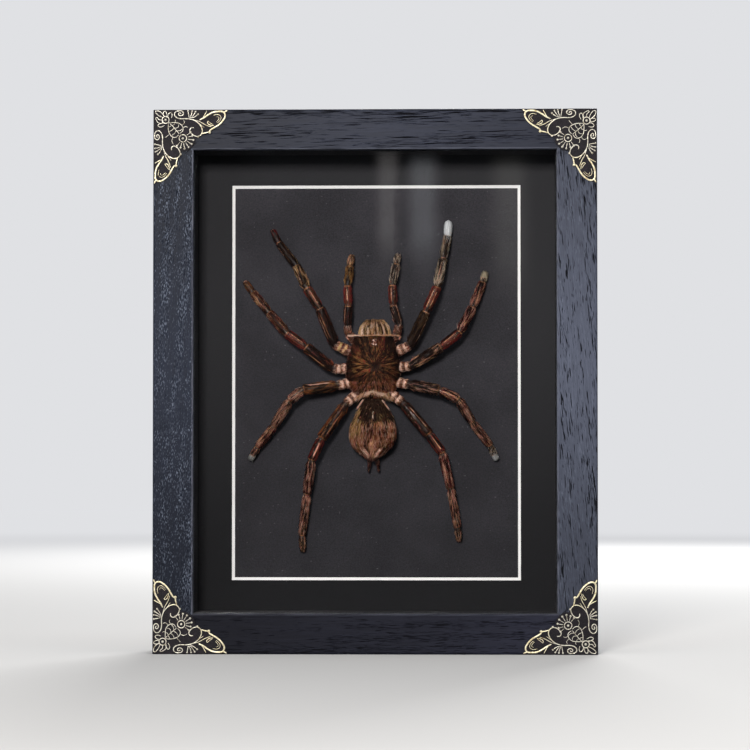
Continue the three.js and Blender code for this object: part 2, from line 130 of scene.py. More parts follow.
class Finish:
    def __init__(self, name, store=bpy.data.materials):
        self.material = store.new(name)
        self.material.use_nodes = True
        self.nodes = self.material.node_tree.nodes
        self.links = self.material.node_tree.links

    def feed(self, socket, value):
        if isinstance(value, Wire):
            self.links.new(value.socket, socket)
        else:
            socket.default_value = value[:3] if socket.type == "VECTOR" else value

    def add(self, kind, settings={}, values={}, output=0):
        node = self.nodes.new("ShaderNode" + kind)
        for key, value in settings.items():
            if key == "stops":
                stops = node.color_ramp.elements
                stops.remove(stops[-1])
                stops[0].position, stops[0].color = value[0]
                for place, colour in value[1:]:
                    stops.new(place).color = colour
            else:
                setattr(node, key, value)
        for key, value in values.items():
            self.feed(node.inputs[key], value)
        return Wire(self, node.outputs[output])

    def give(self, colour, rough, gloss=0.5, normal=None, more={}):
        values = {"Base Color": colour, "Roughness": rough, "Specular IOR Level": gloss, **more}
        if normal:
            values["Normal"] = normal
        for key, value in values.items():
            self.feed(self.nodes["Principled BSDF"].inputs[key], value)

    def show(self, wire, node="Material Output"):
        self.feed(self.nodes[node].inputs["Surface"], wire)

    def own(self):
        return self.add("TexCoord", output=3)

    def scaled(self, spot, scale, turn=(0, 0, 0)):
        return self.add("Mapping", values={"Vector": spot, "Rotation": turn, "Scale": scale})

    def place(self, scale=(1000, 1000, 1000)):
        return self.scaled(self.own(), scale)

    def axes(self, spot=None):
        split = self.add("SeparateXYZ", values={0: spot or self.own()})
        return [Wire(self, socket) for socket in split.socket.node.outputs]

    def noise(self, spot, scale, detail=2.0, rough=0.5, twist=0.0):
        values = {"Vector": spot, "Scale": scale, "Detail": detail, "Roughness": rough, "Distortion": twist}
        return self.add("TexNoise", values=values)

    def spread(self, value, low, high, fromLow=0.0, fromHigh=1.0):
        # maps a span of a value onto another, smoothly, and stops at its ends
        settings = {"interpolation_type": "SMOOTHSTEP"}
        return self.add("MapRange", settings, {0: value, 1: fromLow, 2: fromHigh, 3: low, 4: high})

    def vary(self, noise, low, high):
        # a noise's usual span, from low to high
        return self.spread(noise, low, high, 0.3, 0.7)

    def blend(self, share, first, second):
        return self.add("Mix", {"data_type": "RGBA"}, {0: share, 6: first, 7: second}, 2)

    def shade(self, colour, amount):
        # darkens or lightens a colour by a number
        grey = self.add("CombineXYZ", values={0: amount, 1: amount, 2: amount})
        return self.add("VectorMath", {"operation": "MULTIPLY"}, {0: colour, 1: grey})

    def bump(self, height, strength, distance, more={}):
        return self.add("Bump", values={"Strength": strength, "Distance": distance, "Height": height, **more})


def dress(finish, *names):
    for name in names:
        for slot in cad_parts[name].material_slots:
            slot.material = finish.material


studio = {
    "cameraPlace": (40, -1520, 101),
    "cameraAim": (0.13, -20, 144.1),
    "lens": 139.5,
    "lightAim": (0, 0, 141),
    "floorReach": 4200,
    "floorColour": tone(205, 204, 202),
    "skyColour": tone(224, 225, 228),
    "roomColour": (0.82, 0.88, 1, 1),
    "mirrorGlow": 0.018,
    "roomGlow": 0.2,
    "horizon": (0.7, 2.6),  # metres out, where the floor starts and ends its change to sky
    "streakDepth": -1800,
}
# place, size across and up, watts, colour; each is turned to the specimen's middle
softLights = {
    "keyLight": ((-250, -1780, 660), 340, 340, 34, (1.0, 0.97, 0.94)),
    "rightCard": ((300, -1760, 150), 200, 620, 2.2, (0.90, 0.95, 1.0)),
    "leftCard": ((-1100, -1100, 300), 500, 700, 4, (0.95, 0.97, 1.0)),
    "topSoft": ((100, -300, 1500), 900, 900, 8, (1.0, 1.0, 1.0)),
    "backSoft": ((300, 1800, 900), 900, 900, 38, (1.0, 1.0, 1.0)),
}
# Tall pale cards behind the camera, seen only as faint streaks in the glass:
# middle x and z, size across and up, glow, colour.
glassStreaks = [
    (7, 370, 66, 176, 0.78, (0.90, 0.93, 1.0, 1)),
    (-33, 375, 50, 184, 0.6, (1.0, 0.95, 0.95, 1)),
    (105, 350, 80, 220, 0.36, (1.0, 1.0, 0.94, 1)),
]


def aimed(thing, place, aim):
    thing.location = Vector(place) * mm
    thing.rotation_euler = (Vector(aim) - Vector(place)).to_track_quat("-Z", "Y").to_euler()


def addCamera():
    data = bpy.data.cameras.new("camera")
    data.lens, data.sensor_width = studio["lens"], 36
    data.clip_start, data.clip_end = 0.05, 50
    thing = newObject("camera", data)
    aimed(thing, studio["cameraPlace"], studio["cameraAim"])
    bpy.context.scene.camera = thing


def addLights():
    for name, (place, across, up, watts, colour) in softLights.items():
        data = bpy.data.lights.new(name, "AREA")
        data.shape = "RECTANGLE"
        data.size, data.size_y = across * mm, up * mm
        data.energy, data.color = watts, colour
        thing = newObject(name, data)
        aimed(thing, place, studio["lightAim"])
        thing.visible_camera = False


def addStreaks():
    for number, (x, z, wide, high, strength, colour) in enumerate(glassStreaks):
        onlySelect()
        bpy.ops.mesh.primitive_plane_add(size=1, location=(0, 0, 0))
        thing = bpy.context.object
        thing.name = "streak_card_%d" % number
        finish = Finish("streak_light_%d" % number)
        across, up, _ = finish.axes()
        seen = finish.spread(across.size(), 1, 0, 0.05, 0.5) * (
            finish.spread(up, 0, 1, -0.5, -0.05) * finish.spread(up, 1, 0, 0.34, 0.5)
        )
        glow = finish.add("Emission", values={"Color": finish.shade(colour, seen), "Strength": strength})
        finish.show(finish.add("MixShader", values={0: seen, 1: finish.add("BsdfTransparent"), 2: glow}))
        thing.data.materials.append(finish.material)
        thing.scale = (wide * mm, high * mm, 1)
        thing.rotation_euler = (math.radians(90), 0, 0)
        thing.location = Vector((x, studio["streakDepth"], z)) * mm
        thing.visible_camera = thing.visible_shadow = thing.visible_diffuse = False
        thing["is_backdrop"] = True


def addFloor():
    onlySelect()
    bpy.ops.mesh.primitive_circle_add(vertices=96, radius=studio["floorReach"] * mm, fill_type="NGON")
    floor = bpy.context.object
    floor.name = "studio_floor"
    finish = Finish("pale_floor")
    far = finish.add("VectorMath", {"operation": "LENGTH"}, {0: finish.own()}, 1)
    far = finish.spread(far, 0, 1, *studio["horizon"])
    black = (0, 0, 0, 1)
    sky = {"Emission Color": finish.blend(far, black, studio["skyColour"]), "Emission Strength": 1.0}
    finish.give(finish.blend(far, studio["floorColour"], black), 0.9, 0.1, more=sky)
    floor.data.materials.append(finish.material)
    floor.visible_glossy = floor.visible_transmission = floor.visible_diffuse = False
    floor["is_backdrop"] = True


def addSky():
    # the camera sees a plain sky, the glass a dark room and soft shadows a dim one
    sky = Finish("studio", bpy.data.worlds)
    plain = sky.nodes["Background"]
    sky.feed(plain.inputs[0], studio["skyColour"])
    diffuse, camera = (sky.add("LightPath", output="Is %s Ray" % kind) for kind in ("Diffuse", "Camera"))
    level = sky.spread(diffuse, studio["mirrorGlow"], studio["roomGlow"])
    room = sky.add("Background", values={0: studio["roomColour"], 1: level})
    sky.show(sky.add("MixShader", values={0: camera, 1: room, 2: Wire(sky, plain.outputs[0])}), "World Output")
    scene = bpy.context.scene
    scene.world = sky.material
    scene.view_settings.view_transform = "Standard"
    scene.cycles.caustics_refractive = scene.cycles.caustics_reflective = False


addCamera()
addLights()
addStreaks()
addFloor()
addSky()
print("studio ready")


oak = {
    "pore": tone(8, 8, 12),
    # pale colour of the painted glints, where the grain's ridges catch the light
    "paintedGlint": tone(132, 141, 158),
    "wornEdge": tone(104, 106, 116),
    "half": (0.115, 0.141),  # metres, as the shaders measure; so is the sight opening
    "sightHalf": (0.094, 0.120),
    "shift": (0.31, 0.17, 0.23),  # moves the grain on from one member to the next
}
# Marks have a length and a width in millimetres and lean by the slant. Crowding says how far they
# gather in bands. Each member's paint tone carries painted light: the right stile is painted lighter for a
# sheen and the bottom rail darker for shade. The three numbers of lightness at the member's start, middle
# and end paint sheen and shade along it.
oakMembers = {
    "frame_rail_top": {
        "paint": tone(37, 40, 51), "dash": 12, "wide": 0.42, "slant": 1.5, "dark": 1.0, "light": 0.0,
        "worn": 0.6, "paintedSheenAndShade": (0.7, 1.2, 0.9), "crowding": (-0.075, 0.065),
    },
    "frame_rail_bottom": {
        "paint": tone(24, 25, 34), "dash": 8, "wide": 0.42, "slant": 1.0, "dark": 0.9, "light": 0.0,
        "worn": 0.3, "paintedSheenAndShade": (0.64, 1.06, 2.0), "crowding": (-0.07, 0.06),
    },
    "frame_stile_left": {
        "paint": tone(31, 36, 49), "dash": 3.2, "wide": 0.5, "slant": 3.0, "dark": 0.3, "light": 0.9,
        "worn": 0.8, "paintedSheenAndShade": (0.56, 0.94, 0.62), "crowding": (-0.06, 0.04),
    },
    "frame_stile_right": {
        "paint": tone(70, 74, 87), "dash": 7.0, "wide": 0.62, "slant": -5.0, "dark": 1.0, "light": 0.3,
        "worn": 0.6, "paintedSheenAndShade": (0.66, 1.16, 0.78), "crowding": (-0.05, 0.025),
    },
}


def paintedOak(number, name, look):
    alongX = "rail" in name
    dash, wide, worn = look["dash"], look["wide"], look["worn"]
    finish = Finish("painted_oak_" + name.split("_")[-1])
    spot = finish.own()
    moved = finish.add("VectorMath", {"operation": "ADD"}, {0: spot, 1: [part * number for part in oak["shift"]]})
    turn = (0, math.radians(look["slant"] if alongX else -look["slant"]), 0)
    turned = finish.scaled(moved, (1, 1, 1), turn)

    def grain(length, width, detail, rough):
        # noise whose marks are so long and so wide
        long, thin = 1000 / length, 1000 / width
        spot = finish.scaled(turned, (long, thin, thin) if alongX else (thin, thin, long))
        return finish.noise(spot, 1, detail, rough)

    fibre = grain(16, 0.7, 3, 0.6)
    dashes = grain(dash, wide, 1, 0.4)
    short = grain(dash * 0.5, wide * 0.68, 1, 0.4)
    crowd = finish.spread(grain(120, 4.5, 2, 0.5), *look["crowding"], 0.34, 0.66)
    pore = finish.spread(dashes + crowd, 0, 1, 0.60, 0.67).largest(finish.spread(short + crowd, 0, 0.8, 0.66, 0.72))
    # painted glints: pale flecks in patches where the grain's ridges catch the light; light sets how strong they are
    patches = finish.spread(grain(14, 5, 2, 0.5), 0.3, 1, 0.4, 0.6)
    paintedGlint = finish.spread(short - crowd, 0, 1, 0.44, 0.35) * patches * look["light"]
    across, _, up = finish.axes(spot)
    up = up - oak["half"][1]
    # painted sheen and shade: the paint is lightened or darkened from the member's start through its middle to its end
    start, middle, end = look["paintedSheenAndShade"]
    run = across if alongX else up
    level = finish.spread(run, start, middle, -0.1, 0.01) + finish.spread(run, 0, end - middle, 0.01, 0.115)
    colour = finish.shade(look["paint"], finish.vary(fibre, 0.86, 1.2) * level)
    colour = finish.blend(paintedGlint * 0.5, colour, oak["paintedGlint"])
    colour = finish.blend(pore * (0.95 * look["dark"]), colour, oak["pore"])

    def past(half):
        # how far outside a rectangle round the front's middle
        return (across.size() - half[0]).largest(up.size() - half[1])

    rub = finish.spread(past(oak["sightHalf"]), 1, 0, 0.0004, 0.0011)
    rub = rub.largest(finish.spread(past(oak["half"]), 0, 0.5, -0.0008, -0.0001))
    colour = finish.blend(rub * finish.spread(fibre, 0.15 * worn, 0.85 * worn, 0.35, 0.6), colour, oak["wornEdge"])
    relief = fibre * 0.2 - pore * look["dark"] + paintedGlint * 0.3
    finish.give(colour, finish.spread(pore, 0.4, 0.75) + fibre * 0.08, 0.07, finish.bump(relief, 0.5, 0.0002))
    dress(finish, name)


for number, (name, look) in enumerate(oakMembers.items()):
    paintedOak(number, name, look)
print("wood painted")


sheets = {
    "mat": tone(39, 39, 41),
    "matCore": tone(254, 254, 253),
    "card": tone(49, 48, 52),
    "dust": tone(120, 120, 124),
    "board": tone(122, 88, 58),
    "spacer": tone(19, 19, 22),
    "zinc": tone(196, 198, 201),
    "windowHalf": (0.07598, 0.10398),  # metres
}


def clearGlass():
    finish = Finish("clear_glass")
    finish.give((1, 1, 1, 1), 0.0, more={"IOR": 1.45, "Transmission Weight": 1.0})
    dress(finish, "glass_pane")
    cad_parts["glass_pane"].visible_shadow = False


def blackMat():
    finish = Finish("black_mat")
    pulp = finish.noise(finish.place(), 2.2, 3, 0.6)
    across, _, up = finish.axes()
    # painted shade and light: the mat is painted darker towards the bottom and lighter towards the right
    paintedLightFalloff = finish.spread(up, 0.5, 1.12, 0.03, 0.2) * finish.spread(across, 1.12, 1.26, -0.09, 0.09)
    paper = finish.shade(sheets["mat"], finish.vary(pulp, 0.8, 1.2) * paintedLightFalloff)
    wide, high = sheets["windowHalf"]
    inside = across.size().below(wide) * (up - oak["half"][1]).size().below(high)
    facing = {"Normal": finish.add("CombineXYZ", values={1: -1})}
    finish.give(finish.blend(inside, paper, sheets["matCore"]), 0.9, 0.08, finish.bump(pulp, 0.1, 0.0001, facing))
    dress(finish, "window_mat")


def greyCard():
    finish = Finish("grey_card")
    spot = finish.place()
    speck = finish.noise(spot, 1.3, 3, 0.7)
    dust = finish.spread(finish.noise(spot, 0.8, 0, 0.5), 0, 1, 0.82, 0.85)
    amount = finish.spread(speck, 0.68, 1.3, 0.25, 0.75) * finish.vary(finish.noise(spot, 0.035), 0.84, 1.14)
    # painted shade: the card is painted darker towards the bottom
    amount = amount * finish.spread(finish.axes()[2], 0.78, 1.04, 0.03, 0.2)
    colour = finish.blend(dust * 0.35, finish.shade(sheets["card"], amount), sheets["dust"])
    finish.give(colour, 0.88, 0.1, finish.bump(speck, 0.2, 0.0001))
    dress(finish, "backing_card")


def blackSpacers():
    finish = Finish("black_spacer")
    grit = finish.noise(finish.place(), 1.6, 3, 0.6)
    finish.give(finish.shade(sheets["spacer"], finish.vary(grit, 0.7, 1.3)), 0.85, 0.2)
    dress(finish, "spacer_top", "spacer_bottom", "spacer_left", "spacer_right")


def hardBoard():
    finish = Finish("brown_board")
    spot = finish.place()
    fibres = finish.noise(spot, 0.7, 6, 0.75, 1.2)
    amount = finish.vary(fibres, 0.68, 1.25) * finish.vary(finish.noise(spot, 0.03), 0.85, 1.12)
    finish.give(finish.shade(sheets["board"], amount), 0.8, normal=finish.bump(fibres, 0.3, 0.0002))
    dress(finish, "back_board")


def zincSteel():
    finish = Finish("zinc_steel")
    spangle = finish.noise(finish.place(), 0.7)
    scratch = finish.noise(finish.place((200, 1000, 2600)), 1.0, 3, 0.6)
    colour = finish.shade(sheets["zinc"], finish.vary(spangle, 0.8, 1.1))
    finish.give(colour, finish.vary(scratch, 0.28, 0.5), more={"Metallic": 0.5})
    dress(finish, *[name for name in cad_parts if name.startswith(("point_", "hanger_"))])


for makeFinish in (clearGlass, blackMat, greyCard, blackSpacers, hardBoard, zincSteel):
    makeFinish()
print("glass, mat, card and back finished")


corner = {
    "groundBack": 0.1,
    "groundDepth": 0.45,
    "groundRound": 0.08,
    "wireLift": 0.62,
    "wireFlat": 0.62,
    "wireHalf": 0.3,
    "wireScale": 0.86,
    "beadHeight": 0.52,
    "outline": [
        (0.5, 0.5), (28, 0.45), (36.6, 0.75), (38.8, 0.5), (38.1, 1.9), (37.7, 4), (36.3, 6.2), (33.8, 8.6),
        (30.8, 10.3), (30.2, 12), (28.8, 12.4), (26.3, 12.8), (25, 13.9), (23.4, 14.6), (21.9, 14.9), (21.9, 17),
        (20.9, 19), (19.4, 20.4),
    ],
}
# Each stroke is its thickness and its points, u along one edge of the frame and v along the other.
armStrokes = [
    # spiral, its tail and the scroll that turns back
    (0.9, [(14.6, 2.3), (13.9, 1.8), (13.2, 2.3), (13.6, 3.1), (14.9, 3.2), (15.8, 2.3), (15.2, 1.1), (13.7, 0.8),
           (11.8, 1.3), (11.1, 2.7), (12.0, 4.1), (14.3, 4.9), (17.8, 4.9), (20.8, 5.5), (23.3, 7.0), (25.0, 9.1),
           (25.6, 11.6), (24.8, 13.3), (23.3, 14.2)]),
    (0.95, [(23.3, 14.2), (21.6, 13.8), (19.7, 12.3), (19.1, 10.8), (19.8, 9.7), (21.2, 9.6)]),
    # fan of short rays
    (0.8, [(18.7, 3.9), (18.4, 2.3), (18.2, 0.9)]),
    (0.8, [(19.5, 3.8), (20.0, 2.4), (20.3, 1.0)]),
    (0.8, [(20.3, 3.9), (21.3, 2.6), (22.1, 1.3)]),
    (0.8, [(20.9, 4.3), (22.2, 3.6), (23.4, 2.6)]),
    (0.7, [(18.5, 4.1), (19.6, 4.2), (21.0, 4.4)]),
    # heavy loop at the tip, with its knob and spike
    (1.65, [(24.2, 5.5), (26.4, 4.4), (28.6, 2.9), (31.2, 1.6), (34.0, 1.2), (36.6, 1.6), (37.4, 3.4), (36.4, 5.7),
            (34.0, 8.2), (31.0, 10.0), (29.4, 11.1)]),
    (1.35, [(36.6, 1.6), (37.6, 1.1), (38.5, 0.7)]),
    (1.2, [(31.4, 9.6), (29.9, 10.6), (29.0, 11.8), (27.4, 12.2), (25.6, 12.7)]),
    (0.48, [(31.4, 3.1), (33.8, 2.8), (35.2, 3.9), (34.8, 5.8), (33.2, 7.2)]),
    (0.42, [(33.2, 3.9), (34.2, 4.3), (34.0, 5.4), (32.8, 6.6)]),
    (0.8, [(28.6, 6.1), (28.3, 7.0), (29.6, 8.2), (31.6, 8.5)]),
    (0.55, [(28.6, 6.1), (30.0, 7.3), (31.2, 8.0)]),
    (0.8, [(25.8, 4.6), (27.0, 2.6), (27.9, 0.9)]),
    # thin stems under the tip
    (0.6, [(21.4, 5.6), (24.5, 6.6), (27.4, 8.2), (30.2, 9.2)]),
    (0.55, [(22.8, 6.6), (24.4, 7.9), (26.6, 9.4)]),
]
armBeads = [
    (29.4, 12.0, 0.75), (23.4, 14.4, 0.55), (18.2, 0.9, 0.5), (20.3, 1.0, 0.5), (22.1, 1.3, 0.5), (23.4, 2.6, 0.5)
]
middleStrokes = [
    # petals round the flower
    (0.75, [(5.2, 4.3), (2.6, 3.0), (1.3, 1.1), (2.9, 0.9), (4.7, 2.1), (5.8, 4.0)]),
    (0.7, [(5.9, 3.9), (5.3, 2.3), (5.9, 0.9), (7.1, 2.2), (7.0, 3.9)]),
    (0.7, [(7.6, 4.2), (8.0, 2.5), (9.3, 1.7), (9.9, 3.0), (9.5, 4.5)]),
    (0.7, [(4.9, 5.6), (3.0, 5.3), (1.7, 4.2), (1.9, 5.9), (3.4, 7.3), (5.1, 6.9)]),
    (0.7, [(5.4, 7.3), (3.6, 7.5), (2.6, 8.4), (3.9, 9.2), (5.9, 8.3)]),
    # veined leaf
    (0.7, [(8.2, 6.7), (10.6, 9.2), (13.4, 12.6)]),
    (0.7, [(8.0, 7.0), (7.9, 9.6), (8.5, 12.4), (9.9, 14.3), (11.6, 14.6), (13.3, 13.3)]),
    (0.7, [(8.4, 6.9), (11.2, 6.9), (13.7, 7.4), (15.4, 9.2), (15.4, 11.2), (13.8, 12.5)]),
    (0.55, [(9.7, 8.2), (8.9, 8.9), (8.0, 9.1)]),
    (0.55, [(10.9, 9.6), (9.8, 10.9), (8.4, 11.5)]),
    (0.55, [(12.1, 11.0), (11.0, 12.7), (9.6, 13.6)]),
    (0.55, [(9.9, 8.4), (11.0, 7.8), (11.1, 6.9)]),
    (0.55, [(11.2, 9.9), (13.0, 9.3), (13.4, 7.8)]),
    (0.55, [(12.4, 11.3), (14.2, 11.0), (15.3, 10.0)]),
    # tendrils off the leaf
    (0.5, [(11.4, 7.0), (11.7, 6.0), (11.3, 5.4)]),
    (0.5, [(15.2, 8.2), (16.3, 6.8), (15.9, 5.7)]),
    (0.5, [(15.6, 9.6), (17.0, 9.0), (18.0, 9.4)]),
    (0.5, [(8.2, 13.0), (7.0, 14.2), (6.2, 14.6)]),
    (0.5, [(10.2, 14.9), (9.8, 16.6), (10.6, 18.2)]),
]
flower = {"centre": (6.5, 5.5), "ring": 1.8, "bead": 0.66}
sun = {
    "centre": (15.5, 15.1), "ring": 1.9, "bead": 0.62, "rays": 8, "firstRay": -38, "sweep": 166,
    "rayStart": 2.6, "rayEnd": 5.0, "longer": 0.5,
}


def agedBrass():
    finish = Finish("aged_brass")
    rub = finish.noise(finish.place(), 0.9, 3, 0.6)
    across, depth, up = finish.axes()
    proud = finish.spread(depth, 1, 0, -0.02067, -0.02036)
    # the tips are rubbed to a yellower metal than the middle
    wide, high = oak["half"]
    reach = (wide - across.size()).largest(high - (up - high).size())
    yellow = finish.spread(reach, 0, 1, 0.021, 0.028)
    bright = finish.blend(yellow, tone(224, 218, 202), tone(240, 230, 196))
    dull = finish.blend(yellow, tone(142, 132, 110), tone(178, 156, 108))
    behind = finish.blend(yellow, tone(26, 22, 20), tone(96, 62, 38))
    colour = finish.blend(proud, behind, finish.blend(finish.spread(rub, 0, 1, 0.46, 0.72), bright, dull))
    finish.give(colour, finish.vary(rub, 0.3, 0.5), 0.3, finish.bump(rub, 0.2, 0.0001), {"Metallic": 0.4})
    return finish


def blackenedBrass():
    finish = Finish("blackened_brass")
    spot = finish.place()
    grain = finish.noise(spot, 2.4, 3, 0.6)
    stain = finish.noise(spot, 0.25)
    colour = finish.blend(finish.spread(grain, 0, 0.4, 0.45, 0.75), tone(17, 15, 20), tone(66, 56, 58))
    colour = finish.blend(finish.spread(stain, 0, 0.4, 0.5, 0.75), colour, tone(44, 34, 44))
    finish.give(colour, 0.6, 0.15, finish.bump(grain, 0.5, 0.0002))
    return finish


def curveMesh(name, curve, flat, lift):
    # a curve made a mesh, flattened and lifted off the frame's face
    onlySelect(newObject(name, curve))
    bpy.ops.object.convert(target="MESH")
    bpy.context.object.data.transform(Matrix.Translation((0, 0, lift * mm)) @ Matrix.Diagonal((1, 1, flat, 1)))
    return bpy.context.object


def wireRun(name, strokes):
    curve = bpy.data.curves.new(name, "CURVE")
    curve.dimensions = "3D"
    curve.bevel_depth = corner["wireHalf"] * mm
    curve.bevel_resolution = 1
    curve.resolution_u = 4
    curve.use_fill_caps = True
    for thickness, points, closed in strokes:
        spline = curve.splines.new("BEZIER")
        spline.bezier_points.add(len(points) - 1)
        spline.use_cyclic_u = closed
        for knot, (u, v) in zip(spline.bezier_points, points):
            knot.co = Vector((u, v, 0)) * mm
            knot.handle_left_type = knot.handle_right_type = "AUTO"
            knot.radius = thickness
        if not closed:
            spline.bezier_points[0].radius = spline.bezier_points[-1].radius = thickness * 0.72
    return curveMesh(name, curve, corner["wireFlat"], corner["wireLift"])


def groundPlate(name):
    half = corner["outline"]
    points = half + [(v, u) for u, v in reversed(half[1:])]
    curve = bpy.data.curves.new(name, "CURVE")
    curve.dimensions = "2D"
    curve.fill_mode = "BOTH"
    curve.extrude = (corner["groundDepth"] / 2 - corner["groundRound"]) * mm
    curve.bevel_depth = corner["groundRound"] * mm
    curve.bevel_resolution = 1
    spline = curve.splines.new("POLY")
    spline.points.add(len(points) - 1)
    for knot, (u, v) in zip(spline.points, points):
        knot.co = (u * mm, v * mm, 0, 1)
    spline.use_cyclic_u = True
    return curveMesh(name, curve, 1, corner["groundBack"] + corner["groundDepth"] / 2)


def ball(spot, size, finish, segments, rings):
    # an ellipsoid with three half sizes
    onlySelect()
    bpy.ops.mesh.primitive_uv_sphere_add(segments=segments, ring_count=rings, radius=1, location=Vector(spot) * mm)
    bpy.context.object.scale = Vector(size) * mm
    bpy.ops.object.transform_apply(location=True, rotation=True, scale=True)
    bpy.context.object.data.materials.append(finish.material)
    return bpy.context.object


def filigree():
    strokes = [(w, points, False) for w, points in middleStrokes]
    beads = []
    for w, points in armStrokes:
        strokes += [(w, points, False), (w, [(v, u) for u, v in points], False)]
    for u, v, radius in armBeads:
        beads += [(u, v, radius), (v, u, radius)]
    for part in (flower, sun):
        cu, cv = part["centre"]
        turns = [math.pi * i / 4 for i in range(8)]
        ring = [(cu + part["ring"] * math.cos(t), cv + part["ring"] * math.sin(t)) for t in turns]
        strokes.append((0.85, ring, True))
        beads.append((cu, cv, part["bead"]))
    for number in range(sun["rays"]):
        angle = math.radians(sun["firstRay"] + number * sun["sweep"] / (sun["rays"] - 1))
        reach = sun["rayEnd"] + (sun["longer"] if 2 <= number <= 5 else 0)
        run = [(cu + math.cos(angle) * r, cv + math.sin(angle) * r) for r in (sun["rayStart"], reach)]
        strokes.append((0.75, run, False))
        beads.append((*run[1], 0.55))
    # the drawing runs along the side of the frame first
    strokes = [(w * corner["wireScale"], [(v, u) for u, v in points], closed) for w, points, closed in strokes]
    return strokes, [(v, u, radius) for u, v, radius in beads]


def addCorners():
    strokes, beads = filigree()
    wires, ground = wireRun("corner_wires", strokes), groundPlate("corner_ground")
    ground.data.materials.append(blackenedBrass().material)
    brass = agedBrass()
    wires.data.materials.append(brass.material)
    beads = [ball((u, v, corner["wireLift"]), (r, r, min(r, corner["beadHeight"])), brass, 12, 8) for u, v, r in beads]
    plate = joinAs("corner_master", [ground, wires, *beads])
    bpy.ops.object.shade_smooth_by_angle(angle=math.radians(50))
    # side, level and turn
    seats = {"bottom_left": (-1, 0, 0), "bottom_right": (1, 0, -90), "top_right": (1, 1, 180), "top_left": (-1, 1, 90)}
    wide, high = oak["half"]
    for name, (side, level, turn) in seats.items():
        mesh = plate.data.copy()
        mesh.transform(Matrix.Rotation(math.radians(90), 4, "X"))
        mesh.transform(Matrix.Rotation(math.radians(turn), 4, "Y"))
        mesh.transform(Matrix.Translation((side * wide, -0.02, level * 2 * high)))
        seat("corner_plate_" + name, "aged_brass", newObject("filigree_" + name, mesh))
    bpy.data.objects.remove(plate)


addCorners()
print("brass corners made")


# A form is a run of closed sections. Each has a centre, a side and an up direction, a half
# width, a height above and below the centre and a squareness.


def smooth(low, high, value):
    t = np.clip((value - low) / (high - low), 0, 1)
    return t * t * (3 - 2 * t)


def unit(rows):
    return rows / (np.linalg.norm(rows, axis=1)[:, None] + 1e-9)


def arcOf(centre):
    return np.concatenate([[0], np.cumsum(np.linalg.norm(np.diff(centre, axis=0), axis=1))])


def makeForm(**parts):
    return {"arc": arcOf(parts["centre"]), "sculpt": lambda spots: spots, **parts}


def readForm(form, key, arc):
    value = form[key]
    if value.ndim == 1:
        return np.interp(arc, form["arc"], value)
    return np.stack([np.interp(arc, form["arc"], column) for column in value.T], axis=1)


def surface(form, arc, turn):
    s, c = np.sin(turn), np.cos(turn)
    keys = ("centre", "side", "up", "half", "above", "below", "square")
    centre, side, up, half, above, below, power = (readForm(form, key, arc) for key in keys)
    across = np.sign(s) * np.abs(s) ** power * half
    height = np.sign(c) * np.abs(c) ** power * np.where(c > 0, above, below)
    return form["sculpt"](centre + side * across[:, None] + up * height[:, None])


def surfaceFrame(form, arc, turn, step=0.15, swing=0.03):
    # place, outward normal and the direction along the form
    spot = surface(form, arc, turn)
    ahead, back = np.minimum(arc + step, form["arc"][-1]), np.maximum(arc - step, 0)
    along = surface(form, ahead, turn) - surface(form, back, turn)
    around = surface(form, arc, turn + swing) - surface(form, arc, turn - swing)
    normal = unit(np.cross(around, along))
    outward = spot - readForm(form, "centre", arc)
    return spot, normal * np.where((normal * outward).sum(1) < 0, -1, 1)[:, None], unit(along)


def addMesh(name, finish, corners, loops, sizes, maps, tint=None):
    # loops holds the corners of one face after another, and sizes how many each face has
    mesh = bpy.data.meshes.new(name)
    mesh.vertices.add(len(corners))
    mesh.vertices.foreach_set("co", (corners * mm).astype(np.float32).ravel())
    mesh.loops.add(len(loops))
    mesh.loops.foreach_set("vertex_index", np.array(loops, np.int32))
    mesh.polygons.add(len(sizes))
    mesh.polygons.foreach_set("loop_start", (np.cumsum(sizes) - sizes).astype(np.int32))
    mesh.uv_layers.new(name="OFBake").data.foreach_set("uv", np.array(maps, np.float32).ravel())
    if tint is not None:
        mesh.attributes.new("tint", "FLOAT", "POINT").data.foreach_set("value", tint.astype(np.float32))
    mesh.update()
    mesh.validate()
    mesh.shade_smooth()
    mesh.materials.append(finish.material)
    return newObject(name, mesh)


def skinMesh(name, finish, form, sides, step, tintOf):
    total = form["arc"][-1]
    rows = max(6, int(total / step))
    grid = np.meshgrid(np.linspace(0.002, 0.998, rows) * total, np.arange(sides) * 2 * math.pi / sides, indexing="ij")
    arc, turn = (values.ravel() for values in grid)
    spots = surface(form, arc, turn)

    def knot(i, j):
        # the corner's number and its place on the map
        return i * sides + j % sides, (j / sides, 0.02 + 0.96 * i / (rows - 1))

    faces = [
        [knot(i, j), knot(i + 1, j), knot(i + 1, j + 1), knot(i, j + 1)] for i in range(rows - 1) for j in range(sides)
    ]
    for j in range(sides):
        faces.append([(rows * sides, ((j + 0.5) / sides, 0)), knot(0, j), knot(0, j + 1)])
        faces.append([(rows * sides + 1, ((j + 0.5) / sides, 1)), knot(rows - 1, j + 1), knot(rows - 1, j)])
    loops, maps = zip(*[corner for face in faces for corner in face])
    tint = tintOf(arc, turn, spots)
    corners = np.vstack([spots, form["sculpt"](form["centre"][[0, -1]])])
    sizes = np.array([len(face) for face in faces])
    return addMesh(name, finish, corners, loops, sizes, maps, np.append(tint, tint[[0, -1]]))


